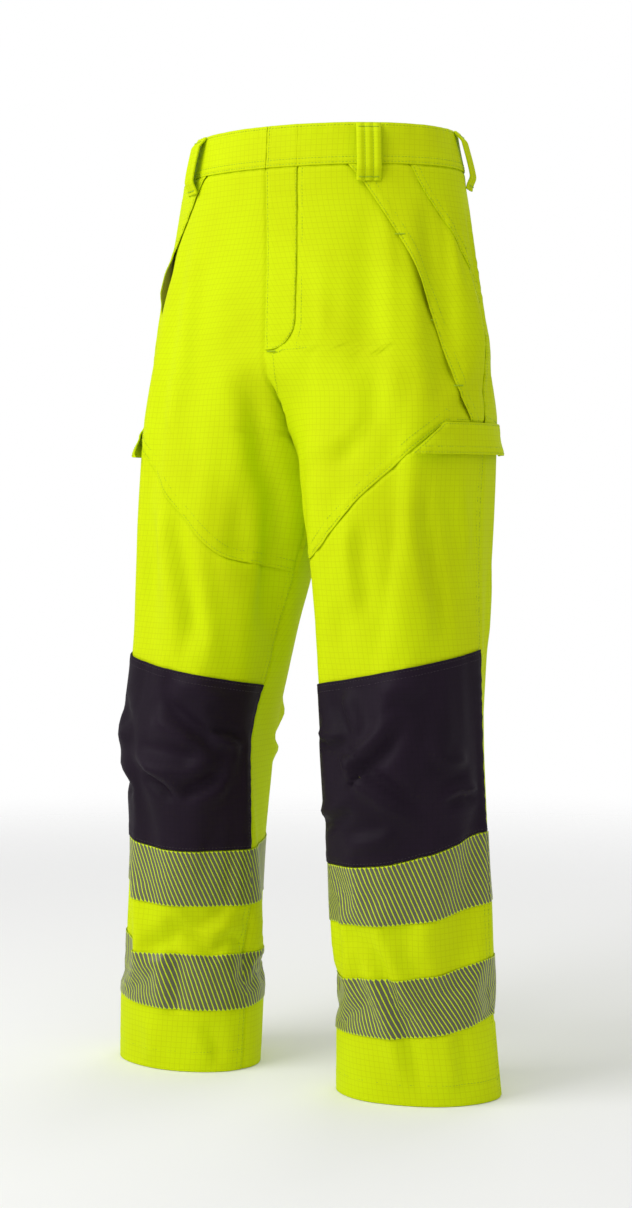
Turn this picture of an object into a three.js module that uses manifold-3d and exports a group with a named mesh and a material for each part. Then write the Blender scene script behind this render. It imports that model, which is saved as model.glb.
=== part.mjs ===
// High-visibility protective trousers, hanging as if worn, in millimetres.
// +Z is up, -Y is the wearer's front, +X is the wearer's left, and the origin is the middle of the
// waist opening, on the plane of the waistband's top edge.
import * as THREE from "three";
import { mergeVertices } from "three/addons/utils/BufferGeometryUtils.js";
import Module from "manifold-3d";

const wasm = await Module();
wasm.setup();

// ---- driving sizes ----
const LENGTH = 1040; // waist to hem
const SEAT_HALF_WIDTH = 201; // the widest level, between hip and thigh
const SEAT_HALF_DEPTH = 107;
const CLOTH = 1.5; // shell fabric with its backing
const SEAM = 0.3; // half of the gap that stands for a seam
const LAYER = 0.7; // clearance between two small layers that lie on each other
const SEWN_CLEAR = 0.9; // a knee patch or band to the leg under it
const LINING = 1.0; // pocket bags and facings
const BAG_CLEAR = 0.95; // a bag's rim to the shell in front of it

const BAND_HEIGHT = 46;
const BAND_CLOTH = 3; // waistband, two layers and an interlining
const LOOP_WIDTH = 27;
const LOOP_LENGTH = 65;
const LOOP_CLOTH = 2;
const LOOP_GAP = 7; // room for a belt behind a loop
const LOOP_FOOT = 8; // height sewn down at each end

const FLY_WIDTH = 38; // centre front to the curved topstitching
const FLY_BOTTOM = 243; // below the waist
const FLY_CURVE = 34; // radius of the topstitching's foot
const FLAP_TOP = 323; // below the waist
const FLAP_HEIGHT = 34;
const FLAP_STANDOFF = 6; // how far the lower edge stands off the thigh
const POCKET_MOUTH = 6; // how wide a pocket's mouth gapes
const POCKET_DEPTH = 13; // how far a pocket bag stands behind the shell
const CARGO_DEPTH = 190; // cargo bag, mouth to base

const TAPE_WIDTH = 62; // reflective bands
const TAPE_WIDENING = 13; // of the upper band, at the outer side
const TAPE_CLOTH = 0.6;
const LOWER_TAPE_UP = 67; // hem to the lower band
const TAPE_SPACING = 120; // one band's lower edge to the next
const PATCH_CLOTH = 1.5;
const PATCH_TOP = 588; // below the waist, in the middle of the knee
const PATCH_SWELL = 5; // how far the knee stands proud
const HEM_FACING = 22;

const ZIP_X = 8; // the zip's middle, beside centre front
const ZIP_Y = -108; // the plane of its tapes
const ZIP_TOP = BAND_HEIGHT + 4; // below the waist, clear of the band
const ZIP_BOTTOM = 224;
const TOOTH_ROW = 2.2; // width of each row of teeth
const TOOTH_THICKNESS = 2.4;
const TOOTH_GAP = 1.4; // between the rows, for the slider's post
const TAPE_THICKNESS = 0.6;
const SLIDER_WIDTH = 9;
const SLIDER_HEIGHT = 9;
const SLIDER_PLATE = 1;
const SLIDER_CLEAR = 0.4;
const PULL_LENGTH = 16;
const PULL_THICKNESS = 0.8;
const SNAP_X = 16;
const SNAP_RADIUS = 6;
const STUD_RADIUS = 2.2;

const SIDE_SEAM = 3; // degrees round the leg, 0 at its outer side
const BAND_JOIN = 0;

// ---- materials ----
const finish = (color, roughness, metalness = 0) =>
  new THREE.MeshStandardMaterial({ color, roughness, metalness });
const YELLOW = finish(0xc8e000, 0.75);
const LINING_OLIVE = finish(0x96903a, 0.85);
const BLACK = finish(0x221c22, 0.85);
const REFLECTIVE = finish(0x8a8a5c, 0.4);
const TAPE_WEB = finish(0x2c2c28, 0.8);
const METAL = finish(0x8f8f88, 0.35, 0.9);

// ---- curves ----
// A smooth curve through [position, value] points that never overshoots them.
function curve(points) {
  const x = points.map((p) => p[0]);
  const y = points.map((p) => p[1]);
  const rise = x.slice(1).map((v, i) => (y[i + 1] - y[i]) / (v - x[i]));
  const slope = x.map((_, i) => {
    if (i === 0) return rise[0];
    if (i === x.length - 1) return rise[i - 1];
    const before = rise[i - 1];
    const after = rise[i];
    return before * after <= 0 ? 0 : (2 * before * after) / (before + after);
  });
  return (at) => {
    if (at <= x[0]) return y[0];
    if (at >= x[x.length - 1]) return y[y.length - 1];
    let i = 0;
    while (at > x[i + 1]) i += 1;
    const width = x[i + 1] - x[i];
    const s = (at - x[i]) / width;
    const start = (1 + 2 * s) * (1 - s) ** 2 * y[i] + s * (1 - s) ** 2 * width * slope[i];
    const end = s * s * (3 - 2 * s) * y[i + 1] - s * s * (1 - s) * width * slope[i + 1];
    return start + end;
  };
}

const mix = (a, b, s) => a + (b - a) * s;
const smooth = (s) => {
  const c = Math.min(Math.max(s, 0), 1);
  return c * c * (3 - 2 * c);
};
const degrees = (angle) => (angle * Math.PI) / 180;

// ---- the left half's outer surface ----
// Each level is an ellipse: height, centre x, centre y, half width, half depth, turn in degrees.
const LEVELS = [
  [-1072, 153, -51, 92, 70, 16],
  [-882, 145, -52, 83, 81, 8],
  [-691, 138, -51, 79, 95, 10],
  [-543, 126, -34, 84, 108, 2],
  [-416, 110.5, -28, 100.5, 119, 0],
  [-352, 107, -21, 104.5, 117, 0],
  [-290, 103, -17, 108.5, 113, 0],
  [-226, 66, -17, 148, 105, 0],
  [-142, 19, -12, 182, 107, 0],
  [-57, 0, -8.5, 174, 112, 0],
  [0, 0, 0, 156, 117.5, 0],
];
const LEVEL_HALF_WIDTH = 201;
const LEVEL_HALF_DEPTH = 107;
const CROTCH = -352;
const BRIDGE_TOP = -250; // above this the front and back lie flat across the middle
const WIDER = SEAT_HALF_WIDTH / LEVEL_HALF_WIDTH;
const DEEPER = SEAT_HALF_DEPTH / LEVEL_HALF_DEPTH;
const column = (i, scale) => curve(LEVELS.map((level) => [level[0], level[i] * scale]));
const centreX = column(1, WIDER);
const centreY = column(2, DEEPER);
const halfWidth = column(3, WIDER);
const halfDepth = column(4, DEEPER);
const turn = column(5, 1);

// A point of the outer surface at t degrees round the section, before any offset.
function surface(t, z) {
  const x = halfWidth(z) * Math.cos(degrees(t));
  const y = halfDepth(z) * Math.sin(degrees(t));
  const c = Math.cos(degrees(turn(z)));
  const s = Math.sin(degrees(turn(z)));
  const px = centreX(z) + x * c - y * s;
  let py = centreY(z) + x * s + y * c;
  if (px < centreX(z)) {
    const flat = centreY(z) + Math.sign(y) * halfDepth(z);
    py = mix(py, flat, smooth((z - CROTCH) / (BRIDGE_TOP - CROTCH)));
  }
  return [px, py];
}

// The same point moved outwards by offset, square to the surface in its own level.
function skin(t, z, offset) {
  const step = 0.5;
  const [x, y] = surface(t, z);
  const before = surface(Math.max(t - step, -180), z);
  const after = surface(Math.min(t + step, 180), z);
  const tx = after[0] - before[0];
  const ty = after[1] - before[1];
  const size = Math.hypot(tx, ty);
  return [x + (ty / size) * offset, y - (tx / size) * offset, z];
}

// The angle at which a level's front reaches x, or the inseam where it never does.
function angleAt(x, z) {
  const c = (x - centreX(z)) / halfWidth(z);
  return c <= -1 ? 180 - SEAM_ANGLE : (Math.acos(Math.min(c, 1)) * 180) / Math.PI;
}
const SEAM_ANGLE = 0.3;
const frontMiddle = (z) => -Math.min(angleAt(SEAM, z), 180 - SEAM_ANGLE);
const backMiddle = (z) => -frontMiddle(z);

// ---- seams, as heights below the waist round the leg, or angles down the body ----
const hem = () => -LENGTH;
const bandBottom = () => -BAND_HEIGHT - SEAM;
const yokeSeam = curve([[-180, -480], [-130, -468], [-92, -421], [-51, -357], [-28, -FLAP_TOP]]);
const seatSeam = curve([[0, -FLAP_TOP - 2], [90, -350], [180, -400]]);
const pocketEdge = curve([[-FLAP_TOP, -10], [-298, -18], [-249, -28], [-200, -34], [-137, -41],
  [-68, -51], [-BAND_HEIGHT, -57]]);
const sideBack = curve([[-FLAP_TOP, 3], [-200, 2], [-146, -7], [-74, -25], [-BAND_HEIGHT, -30]]);
// The mouth of the hand pocket gapes between these two levels.
const MOUTH_TOP = -90;
const MOUTH_BOTTOM = -235;
const mouthShare = (z) => smooth((MOUTH_TOP - z) / 40) * smooth((z - MOUTH_BOTTOM) / 40);
const perMillimetre = (z) => 57.3 / Math.hypot(halfWidth(z), halfDepth(z)) / Math.SQRT1_2;

// Bands and knee patch dip towards the front and rise at the outer side.
const rise = curve([[-180, 0], [-90, 3], [-50, 9], [SIDE_SEAM, 20], [90, 12], [180, 0]]);
const lowerTapeBottom = (t) => -LENGTH + LOWER_TAPE_UP + rise(t);
const lowerTapeTop = (t) => lowerTapeBottom(t) + TAPE_WIDTH;
const upperTapeBottom = (t) => lowerTapeBottom(t) + TAPE_SPACING;
// The upper band is wider at the outer side, up to the knee patch.
const widening = (t) => TAPE_WIDENING * smooth((t + 110) / 113) * smooth((63 - t) / 60);
const upperTapeTop = (t) => upperTapeBottom(t) + TAPE_WIDTH + widening(t);
const patchBottom = (t) => upperTapeTop(t) + 1;
const patchTop = (t) => -PATCH_TOP + curve([[-180, -20], [-90, 0], [SIDE_SEAM, 24]])(t);

// ---- solids ----
// A closed slab between two grids of points, outer[row][column] and inner[row][column].
function slab(outer, inner, ring = false) {
  const rows = outer.length;
  const columns = outer[0].length;
  const points = [...outer.flat(), ...inner.flat()];
  const at = (layer, r, c) => layer * rows * columns + r * columns + (c % columns);
  const triangles = [];
  const quad = (a, b, c, d) => triangles.push(a, b, c, a, c, d);
  const spans = ring ? columns : columns - 1;
  for (let r = 0; r < rows - 1; r += 1) {
    for (let c = 0; c < spans; c += 1) {
      quad(at(0, r, c), at(0, r, c + 1), at(0, r + 1, c + 1), at(0, r + 1, c));
      quad(at(1, r, c), at(1, r + 1, c), at(1, r + 1, c + 1), at(1, r, c + 1));
    }
  }
  for (let c = 0; c < spans; c += 1) {
    quad(at(0, 0, c), at(1, 0, c), at(1, 0, c + 1), at(0, 0, c + 1));
    const top = rows - 1;
    quad(at(0, top, c), at(0, top, c + 1), at(1, top, c + 1), at(1, top, c));
  }
  for (let r = 0; r < rows - 1 && !ring; r += 1) {
    quad(at(0, r, 0), at(0, r + 1, 0), at(1, r + 1, 0), at(1, r, 0));
    const end = columns - 1;
    quad(at(0, r, end), at(1, r, end), at(1, r + 1, end), at(0, r + 1, end));
  }
  const geometry = new THREE.BufferGeometry();
  geometry.setAttribute("position", new THREE.Float32BufferAttribute(points.flat(), 3));
  geometry.setIndex(triangles);
  return geometry;
}

// Where a patch's grid point lies: t between two edges given by height, z between two given by t.
function patchPoint(edges, u, v) {
  const across = (z) => mix(edges.from(z), edges.to(z), u);
  const settle = (limit, start) => {
    let z = start;
    for (let i = 0; i < 12; i += 1) z = limit(across(z));
    return z;
  };
  const z = mix(settle(edges.bottom, edges.near ?? -600), settle(edges.top, -60), v);
  return [across(z), z];
}

// A patch of cloth on the left half, from offset `under` to offset `over`, which may vary over it.
function patch(edges, columns, rows, over, under) {
  const value = (offset, u, v) => (typeof offset === "function" ? offset(u, v) : offset);
  const grid = (offset) =>
    Array.from({ length: rows + 1 }, (_, r) =>
      Array.from({ length: columns + 1 }, (__, c) => {
        const [t, z] = patchPoint(edges, c / columns, r / rows);
        return skin(t, z, value(offset, c / columns, r / rows));
      }));
  return slab(grid(over), grid(under));
}

// A cloth band right round one leg.
function legRing(bottom, top, columns, over, under) {
  const grid = (offset) =>
    [bottom, top].map((z) =>
      Array.from({ length: columns }, (_, c) => skin(-180 + (360 * c) / columns, z, offset)));
  return slab(grid(over), grid(under), true);
}

// A patch that crosses the middle of the back, `from` degrees on the left to the same on the right.
function backPatch(from, bottom, top, columns, over, under) {
  const grid = (offset) =>
    [bottom, top].map((z) =>
      Array.from({ length: columns + 1 }, (_, c) => {
        const t = mix(from, 180 - from, c / columns);
        const [x, y] = skin(t <= 90 ? t : 180 - t, z, offset);
        return [t <= 90 ? x : -x, y, z];
      }));
  return slab(grid(over), grid(under));
}

function mirrored(geometry) {
  const copy = geometry.clone().scale(-1, 1, 1);
  const index = copy.getIndex();
  if (!index) return mirrored(mergeVertices(bare(geometry)));
  for (let i = 0; i < index.count; i += 3) {
    const swap = index.getX(i + 1);
    index.setX(i + 1, index.getX(i + 2));
    index.setX(i + 2, swap);
  }
  return copy;
}

// An outline in x and y drawn up from one height to another.
function upright(outline, bottom, top) {
  const shape = new THREE.Shape(outline.map(([x, y]) => new THREE.Vector2(x, y)));
  const settings = { depth: top - bottom, bevelEnabled: false };
  return new THREE.ExtrudeGeometry(shape, settings).translate(0, 0, bottom);
}

// A strip of cloth of even thickness whose front face follows the points from left to right.
function hangingStrip(front, thickness, bottom, top) {
  const back = front.map(([x, y]) => [x, y + thickness]).reverse();
  return upright([...front, ...back], bottom, top);
}

// A shape in x and z, given thickness from y `front` to y `back`.
function facing(shape, front, back) {
  const settings = { depth: back - front, bevelEnabled: false, curveSegments: 8 };
  return new THREE.ExtrudeGeometry(shape, settings).rotateX(Math.PI / 2).translate(0, back, 0);
}

// A turned piece about an axis along Y, from a closed profile of radius and y.
function turned(profile, x, z, sides = 20) {
  const points = profile.map(([radius, y]) => new THREE.Vector2(radius, y));
  return new THREE.LatheGeometry([...points, points[0]], sides).translate(x, 0, z);
}

function bare(geometry) {
  const copy = geometry.clone();
  copy.deleteAttribute("normal");
  copy.deleteAttribute("uv");
  return copy;
}

function solid(geometry) {
  const welded = mergeVertices(bare(geometry), 1e-4);
  const vertProperties = new Float32Array(welded.attributes.position.array);
  const triVerts = new Uint32Array(welded.index.array);
  return new wasm.Manifold(new wasm.Mesh({ numProp: 3, vertProperties, triVerts }));
}

function fromSolid(manifold) {
  const mesh = manifold.getMesh();
  const geometry = new THREE.BufferGeometry();
  geometry.setAttribute("position", new THREE.Float32BufferAttribute(mesh.vertProperties, 3));
  geometry.setIndex(new THREE.Uint32BufferAttribute(mesh.triVerts, 1));
  return geometry;
}

const trousers = new THREE.Group();

function add(name, geometry, material) {
  const mesh = new THREE.Mesh(geometry, material);
  mesh.name = name;
  trousers.add(mesh);
}

function addPair(name, geometry, material) {
  add(`${name}_left`, geometry, material);
  add(`${name}_right`, mirrored(geometry), material);
}

// ---- fly outline, in x and z ----
function flyOutline(grow) {
  const edge = FLY_WIDTH + grow;
  const bottom = -FLY_BOTTOM - grow;
  const shape = new THREE.Shape();
  shape.moveTo(-1, 20);
  shape.lineTo(-1, bottom);
  shape.lineTo(edge - FLY_CURVE, bottom);
  shape.absarc(edge - FLY_CURVE, bottom + FLY_CURVE, FLY_CURVE, -Math.PI / 2, 0, false);
  shape.lineTo(edge, 20);
  return shape;
}

// ---- shell panels ----
function buildFront() {
  const edges = {
    from: frontMiddle,
    to: (z) => pocketEdge(z) - (SEAM + POCKET_MOUTH * mouthShare(z)) * perMillimetre(z),
    bottom: (t) => yokeSeam(t) + SEAM,
    top: bandBottom,
    near: -400,
  };
  const front = patch(edges, 14, 10, 0, -CLOTH);
  const cut = solid(facing(flyOutline(SEAM), -200, 0));
  const cover = solid(facing(flyOutline(-SEAM), -200, 0));
  add("front_upper_left", fromSolid(solid(front).subtract(cut)), YELLOW);
  add("fly_cover", fromSolid(solid(front).intersect(cover)), YELLOW);
  add("front_upper_right", mirrored(front), YELLOW);
}

function buildSides() {
  const edges = {
    from: (z) => pocketEdge(z) + SEAM_ANGLE,
    to: (z) => sideBack(z) - SEAM_ANGLE,
    bottom: () => -FLAP_TOP + SEAM,
    top: bandBottom,
    near: -FLAP_TOP,
  };
  addPair("side_panel", patch(edges, 4, 9, 0, -CLOTH), YELLOW);
}

function buildSeat() {
  const edges = {
    from: (z) => sideBack(z) + SEAM_ANGLE,
    to: backMiddle,
    bottom: (t) => seatSeam(t) + SEAM,
    top: bandBottom,
    near: -360,
  };
  addPair("seat", patch(edges, 14, 8, 0, -CLOTH), YELLOW);
}

// The leg's top edge drops under the flap to leave the cargo pocket's mouth open.
const CARGO_FROM = -40;
const CARGO_TO = 34;
const LEG_ROW = 60; // height of one row of the leg's facets at the outer side
const LEAST_LEG_ROWS = 12; // so that the knee stays round on a short leg
const cargoShare = (t) => smooth((t - CARGO_FROM) / 12) * smooth((CARGO_TO - t) / 12);

function buildLegs() {
  const front = {
    from: () => -180 + SEAM_ANGLE,
    to: () => SIDE_SEAM - SEAM_ANGLE,
    bottom: hem,
    top: (t) => yokeSeam(t) - 2 * SEAM - POCKET_MOUTH * cargoShare(t),
  };
  const back = {
    from: () => SIDE_SEAM + SEAM_ANGLE,
    to: () => 180 - SEAM_ANGLE,
    bottom: hem,
    top: (t) => seatSeam(t) - SEAM - POCKET_MOUTH * cargoShare(t),
  };
  const rows = Math.max(LEAST_LEG_ROWS, Math.round((LENGTH - FLAP_TOP) / LEG_ROW));
  addPair("leg_front", patch(front, 18, rows, 0, -CLOTH), YELLOW);
  addPair("leg_back", patch(back, 18, rows, 0, -CLOTH), YELLOW);
  const over = -CLOTH - LAYER;
  const facing = legRing(-LENGTH, -LENGTH + HEM_FACING, 24, over, over - LINING);
  addPair("hem_facing", facing, YELLOW);
}

// ---- what is sewn on the legs ----
function buildTapes() {
  const bands = { upper: [upperTapeBottom, upperTapeTop], lower: [lowerTapeBottom, lowerTapeTop] };
  const sides = {
    front: [-180 + SEAM_ANGLE, SIDE_SEAM - SEAM_ANGLE],
    back: [SIDE_SEAM + SEAM_ANGLE, 180 - SEAM_ANGLE],
  };
  for (const [level, [bottom, top]] of Object.entries(bands)) {
    for (const [side, [from, to]] of Object.entries(sides)) {
      const edges = { from: () => from, to: () => to, bottom, top };
      const tape = patch(edges, 18, 1, SEWN_CLEAR + TAPE_CLOTH, SEWN_CLEAR);
      addPair(`tape_${level}_${side}`, tape, REFLECTIVE);
    }
  }
}

function buildKnees() {
  const edges = {
    from: () => -180 + 2 * SEAM_ANGLE,
    to: () => SIDE_SEAM - 2 * SEAM_ANGLE,
    bottom: patchBottom,
    top: patchTop,
  };
  const swell = (u, v) => PATCH_SWELL * (Math.sin(Math.PI * u) * Math.sin(Math.PI * v)) ** 2;
  const under = (u, v) => SEWN_CLEAR + swell(u, v);
  const over = (u, v) => under(u, v) + PATCH_CLOTH;
  addPair("knee_patch", patch(edges, 18, 5, over, under), BLACK);
  const pouch = {
    from: () => -140,
    to: () => -30,
    bottom: (t) => patchBottom(t) + 12,
    top: (t) => patchTop(t) - 12,
  };
  const inside = -CLOTH - BAG_CLEAR - SEAM;
  addPair("knee_pad_pouch", patch(pouch, 11, 5, inside, inside - LINING), LINING_OLIVE);
}

// ---- pockets ----
// A bag is a dish behind the shell, sewn to it all round.
function dish(edges, columns, rows) {
  const plateau = (s) => smooth(s * 5) * smooth((1 - s) * 5);
  const reach = POCKET_DEPTH - BAG_CLEAR;
  const front = (u, v) => -CLOTH - BAG_CLEAR - reach * plateau(u) * plateau(v);
  const back = (u, v) => front(u, v) - LINING;
  return patch(edges, columns, rows, front, back);
}

function buildPockets() {
  const hand = {
    from: (z) => pocketEdge(z) - 10,
    to: (z) => sideBack(z) - 2,
    bottom: () => -FLAP_TOP + 14,
    top: () => -BAND_HEIGHT - 12,
    near: -300,
  };
  addPair("hand_pocket_bag", dish(hand, 6, 8), LINING_OLIVE);
  const cargo = {
    from: () => CARGO_FROM,
    to: () => CARGO_TO,
    bottom: () => -FLAP_TOP - CARGO_DEPTH,
    top: () => -FLAP_TOP + 4,
  };
  addPair("cargo_pocket_bag", dish(cargo, 8, 7), LINING_OLIVE);
}

function buildFlaps() {
  const edges = {
    from: (z) => mix(-30, -50, (-FLAP_TOP - z) / FLAP_HEIGHT),
    to: () => 44,
    bottom: () => -FLAP_TOP - FLAP_HEIGHT,
    top: () => -FLAP_TOP,
  };
  const stand = (v) => mix(FLAP_STANDOFF, 0, v) + LAYER;
  const flap = patch(edges, 10, 3, (u, v) => stand(v) + CLOTH, (u, v) => stand(v));
  addPair("cargo_flap", flap, YELLOW);
  const strip = (from, to, low, high) => ({
    from: () => from,
    to: () => to,
    bottom: () => -FLAP_TOP - low * FLAP_HEIGHT,
    top: () => -FLAP_TOP - high * FLAP_HEIGHT,
  });
  const hooks = strip(-22, 26, 0.86, 0.52);
  const loopTop = LAYER + LINING;
  const behindFlap = (v) => stand(mix(0.14, 0.48, v)) - SEWN_CLEAR;
  const hookStrip = patch(hooks, 5, 1, (u, v) => behindFlap(v), loopTop + SEAM);
  addPair("flap_hook_strip", hookStrip, TAPE_WEB);
  const loopStrip = patch(strip(-24, 28, 0.9, 0.48), 5, 1, loopTop, LAYER);
  addPair("flap_loop_strip", loopStrip, TAPE_WEB);
}

// ---- waist ----
function buildWaistband() {
  const band = (from, to, columns) => {
    const edges = { from, to, bottom: () => -BAND_HEIGHT, top: () => 0, near: -BAND_HEIGHT };
    return patch(edges, columns, 2, 0, -BAND_CLOTH);
  };
  const join = () => BAND_JOIN - SEAM_ANGLE;
  const flyEdge = (z) => -angleAt(FLY_WIDTH + SEAM, z);
  add("waistband_left", band(flyEdge, join, 8), YELLOW);
  add("waist_tab", band(frontMiddle, (z) => -angleAt(FLY_WIDTH - SEAM, z), 3), YELLOW);
  add("waistband_right", mirrored(band(frontMiddle, join, 10)), YELLOW);
  const back = backPatch(BAND_JOIN + SEAM_ANGLE, -BAND_HEIGHT, 0, 20, 0, -BAND_CLOTH);
  add("waistband_back", back, YELLOW);
}

// One loop: a strip sewn down at both ends, with room for a belt behind it.
function beltLoop(t) {
  const [x, y] = skin(t, 0, 0);
  const [nx, ny] = skin(t, 0, 1).map((value, i) => value - [x, y, 0][i]);
  const reach = (z) => {
    const [px, py] = skin(t, z, 0);
    return (px - x) * nx + (py - y) * ny;
  };
  const top = -1;
  const bottom = -LOOP_LENGTH;
  const near = (z) => reach(z) + LAYER;
  const far = (z) => reach(z) + LOOP_GAP;
  const upperFoot = top - LOOP_FOOT;
  const lowerFoot = bottom + LOOP_FOOT;
  const outline = [
    [near(top), top],
    [near(upperFoot), upperFoot],
    [far(upperFoot), upperFoot],
    [far(lowerFoot), lowerFoot],
    [near(lowerFoot), lowerFoot],
    [near(bottom), bottom],
    [far(bottom) + LOOP_CLOTH, bottom],
    [far(top) + LOOP_CLOTH, top],
  ];
  const shape = new THREE.Shape(outline.map(([out, z]) => new THREE.Vector2(out, z)));
  const loop = new THREE.ExtrudeGeometry(shape, { depth: LOOP_WIDTH, bevelEnabled: false });
  loop.translate(0, 0, -LOOP_WIDTH / 2).rotateX(Math.PI / 2).rotateZ(Math.atan2(ny, nx));
  return loop.translate(x, y, 0);
}

function buildLoops() {
  const places = { front: -46, side: 14, rear: 58 };
  for (const [place, angle] of Object.entries(places)) {
    addPair(`belt_loop_${place}`, beltLoop(angle), YELLOW);
  }
  add("belt_loop_centre", beltLoop(90), YELLOW);
}

// ---- fly ----
const ROW_INSIDE = TOOTH_GAP / 2;
const ROW_OUTSIDE = ROW_INSIDE + TOOTH_ROW;
const HALF_ROW = TOOTH_THICKNESS / 2;
const HALF_TAPE = TAPE_THICKNESS / 2;

// One half of the zip: a row of teeth on the edge of a tape that runs to the shell.
function zipHalf(side, route) {
  const x = (out) => ZIP_X + side * out;
  const outline = [
    [x(ROW_INSIDE), ZIP_Y - HALF_ROW],
    [x(ROW_OUTSIDE), ZIP_Y - HALF_ROW],
    [x(ROW_OUTSIDE), ZIP_Y - HALF_TAPE],
    ...route.map(([px, py]) => [px, py - HALF_TAPE]),
    ...route.map(([px, py]) => [px, py + HALF_TAPE]).reverse(),
    [x(ROW_OUTSIDE), ZIP_Y + HALF_TAPE],
    [x(ROW_OUTSIDE), ZIP_Y + HALF_ROW],
    [x(ROW_INSIDE), ZIP_Y + HALF_ROW],
  ];
  return upright(side > 0 ? outline : outline.reverse(), -ZIP_BOTTOM, -ZIP_TOP);
}

// The y that clears the shell's inner face beside the fly, at x, all the way down the zip.
function behindShell(x) {
  const samples = 12;
  const heights = Array.from({ length: samples + 1 }, (_, i) =>
    -mix(ZIP_TOP, ZIP_BOTTOM, i / samples));
  const inside = heights.map((z) => skin(-angleAt(Math.abs(x), z), z, -CLOTH)[1]);
  return Math.max(...inside) + LAYER;
}

function buildZip() {
  const under = (x) => [x, behindShell(x) + HALF_TAPE];
  const left = [[ZIP_X + 12, ZIP_Y], under(FLY_WIDTH), under(FLY_WIDTH + 14)];
  const right = [[-3, ZIP_Y], under(-16), under(-28)];
  add("zip_tape_left", zipHalf(1, left), TAPE_WEB);
  add("zip_tape_right", zipHalf(-1, right), TAPE_WEB);
  const stop = new THREE.BoxGeometry(2 * ROW_OUTSIDE + 1, TOOTH_THICKNESS + 1, 4);
  stop.translate(ZIP_X, ZIP_Y, -ZIP_BOTTOM - 2 - SEAM);
  add("zip_bottom_stop", stop, METAL);
  const behind = ([x, y]) => [x, y + HALF_TAPE + LAYER];
  const flyFacing = [
    [ZIP_X + 6, ZIP_Y + HALF_TAPE + LAYER],
    ...left.map(behind),
    [FLY_WIDTH + 24, behindShell(FLY_WIDTH + 24)],
  ];
  add("fly_facing", hangingStrip(flyFacing, LINING, -FLY_BOTTOM + 8, -ZIP_TOP), YELLOW);
  const shieldY = ZIP_Y + 4.5;
  const shield = [
    [-44, behindShell(-44)],
    behind(under(-30)),
    [-8, shieldY],
    [28, shieldY],
  ];
  add("fly_shield", hangingStrip(shield, LINING, -FLY_BOTTOM + 8, -ZIP_TOP), YELLOW);
}

// The slider is two plates joined by a post between the rows of teeth, with a bridge in front.
function buildSlider() {
  const front = ZIP_Y - HALF_ROW - SLIDER_CLEAR;
  const back = ZIP_Y + HALF_ROW + SLIDER_CLEAR;
  const wide = SLIDER_WIDTH / 2;
  const post = ROW_INSIDE - 0.3;
  const outline = [
    [ZIP_X - wide, front - SLIDER_PLATE], [ZIP_X + wide, front - SLIDER_PLATE],
    [ZIP_X + wide, front], [ZIP_X + post, front], [ZIP_X + post, back], [ZIP_X + wide, back],
    [ZIP_X + wide, back + SLIDER_PLATE], [ZIP_X - wide, back + SLIDER_PLATE],
    [ZIP_X - wide, back], [ZIP_X - post, back], [ZIP_X - post, front], [ZIP_X - wide, front],
  ];
  const top = -ZIP_TOP - 2;
  const body = solid(upright(outline, top - SLIDER_HEIGHT, top));
  const pivotZ = top - 3;
  const pivotY = front - SLIDER_PLATE - 1.4;
  const bridge = new THREE.BoxGeometry(2, 3, 5);
  bridge.translate(ZIP_X, front - SLIDER_PLATE - 1.4, pivotZ);
  const eye = new THREE.BoxGeometry(4, 1.8, 1.8).translate(ZIP_X, pivotY, pivotZ);
  const slider = body.add(solid(bridge)).subtract(solid(eye));
  add("zip_slider", fromSolid(slider), METAL);

  const pull = new THREE.Shape();
  const half = 3;
  pull.moveTo(ZIP_X - half, pivotZ + 0.45);
  pull.lineTo(ZIP_X - half, pivotZ - PULL_LENGTH);
  pull.lineTo(ZIP_X + half, pivotZ - PULL_LENGTH);
  pull.lineTo(ZIP_X + half, pivotZ + 0.45);
  const window = new THREE.Path();
  window.moveTo(ZIP_X - 1.6, pivotZ - 0.45);
  window.lineTo(ZIP_X + 1.6, pivotZ - 0.45);
  window.lineTo(ZIP_X + 1.6, pivotZ - 6);
  window.lineTo(ZIP_X - 1.6, pivotZ - 6);
  pull.holes.push(window);
  const low = pivotY - PULL_THICKNESS / 2;
  add("zip_pull", facing(pull, low, low + PULL_THICKNESS), METAL);
}

// The right end of the waistband runs on under the tab and carries the press stud.
function buildWaistClosure() {
  const bandInside = (x) => skin(-angleAt(Math.abs(x), 0), 0, -BAND_CLOTH)[1] + LAYER;
  const underlapY = bandInside(SNAP_X) + 3.6;
  const underlap = [
    [-34, bandInside(-34)],
    [-6, bandInside(-6)],
    [4, underlapY],
    [FLY_WIDTH - 4, underlapY],
  ];
  add("waist_underlap", hangingStrip(underlap, BAND_CLOTH - 1, -BAND_HEIGHT + 3, -3), YELLOW);
  const z = -BAND_HEIGHT / 2;
  const tabInside = skin(-angleAt(SNAP_X, z), z, -BAND_CLOTH)[1] + LAYER + SEAM;
  const hole = STUD_RADIUS + 0.5;
  const socket = [
    [hole, tabInside], [SNAP_RADIUS, tabInside], [SNAP_RADIUS, tabInside + 1.4],
    [hole, tabInside + 1.4],
  ];
  add("snap_socket", turned(socket, SNAP_X, z), METAL);
  const base = underlapY - 0.3;
  const stud = [
    [0, tabInside + 0.4], [STUD_RADIUS, tabInside + 0.4], [STUD_RADIUS, base - 0.9],
    [SNAP_RADIUS, base - 0.9], [SNAP_RADIUS, base], [0, base],
  ];
  add("snap_stud", turned(stud, SNAP_X, z), METAL);
}

buildFront();
buildSides();
buildSeat();
buildLegs();
buildTapes();
buildKnees();
buildPockets();
buildFlaps();
buildWaistband();
buildLoops();
buildZip();
buildSlider();
buildWaistClosure();

export default trousers;
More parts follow.
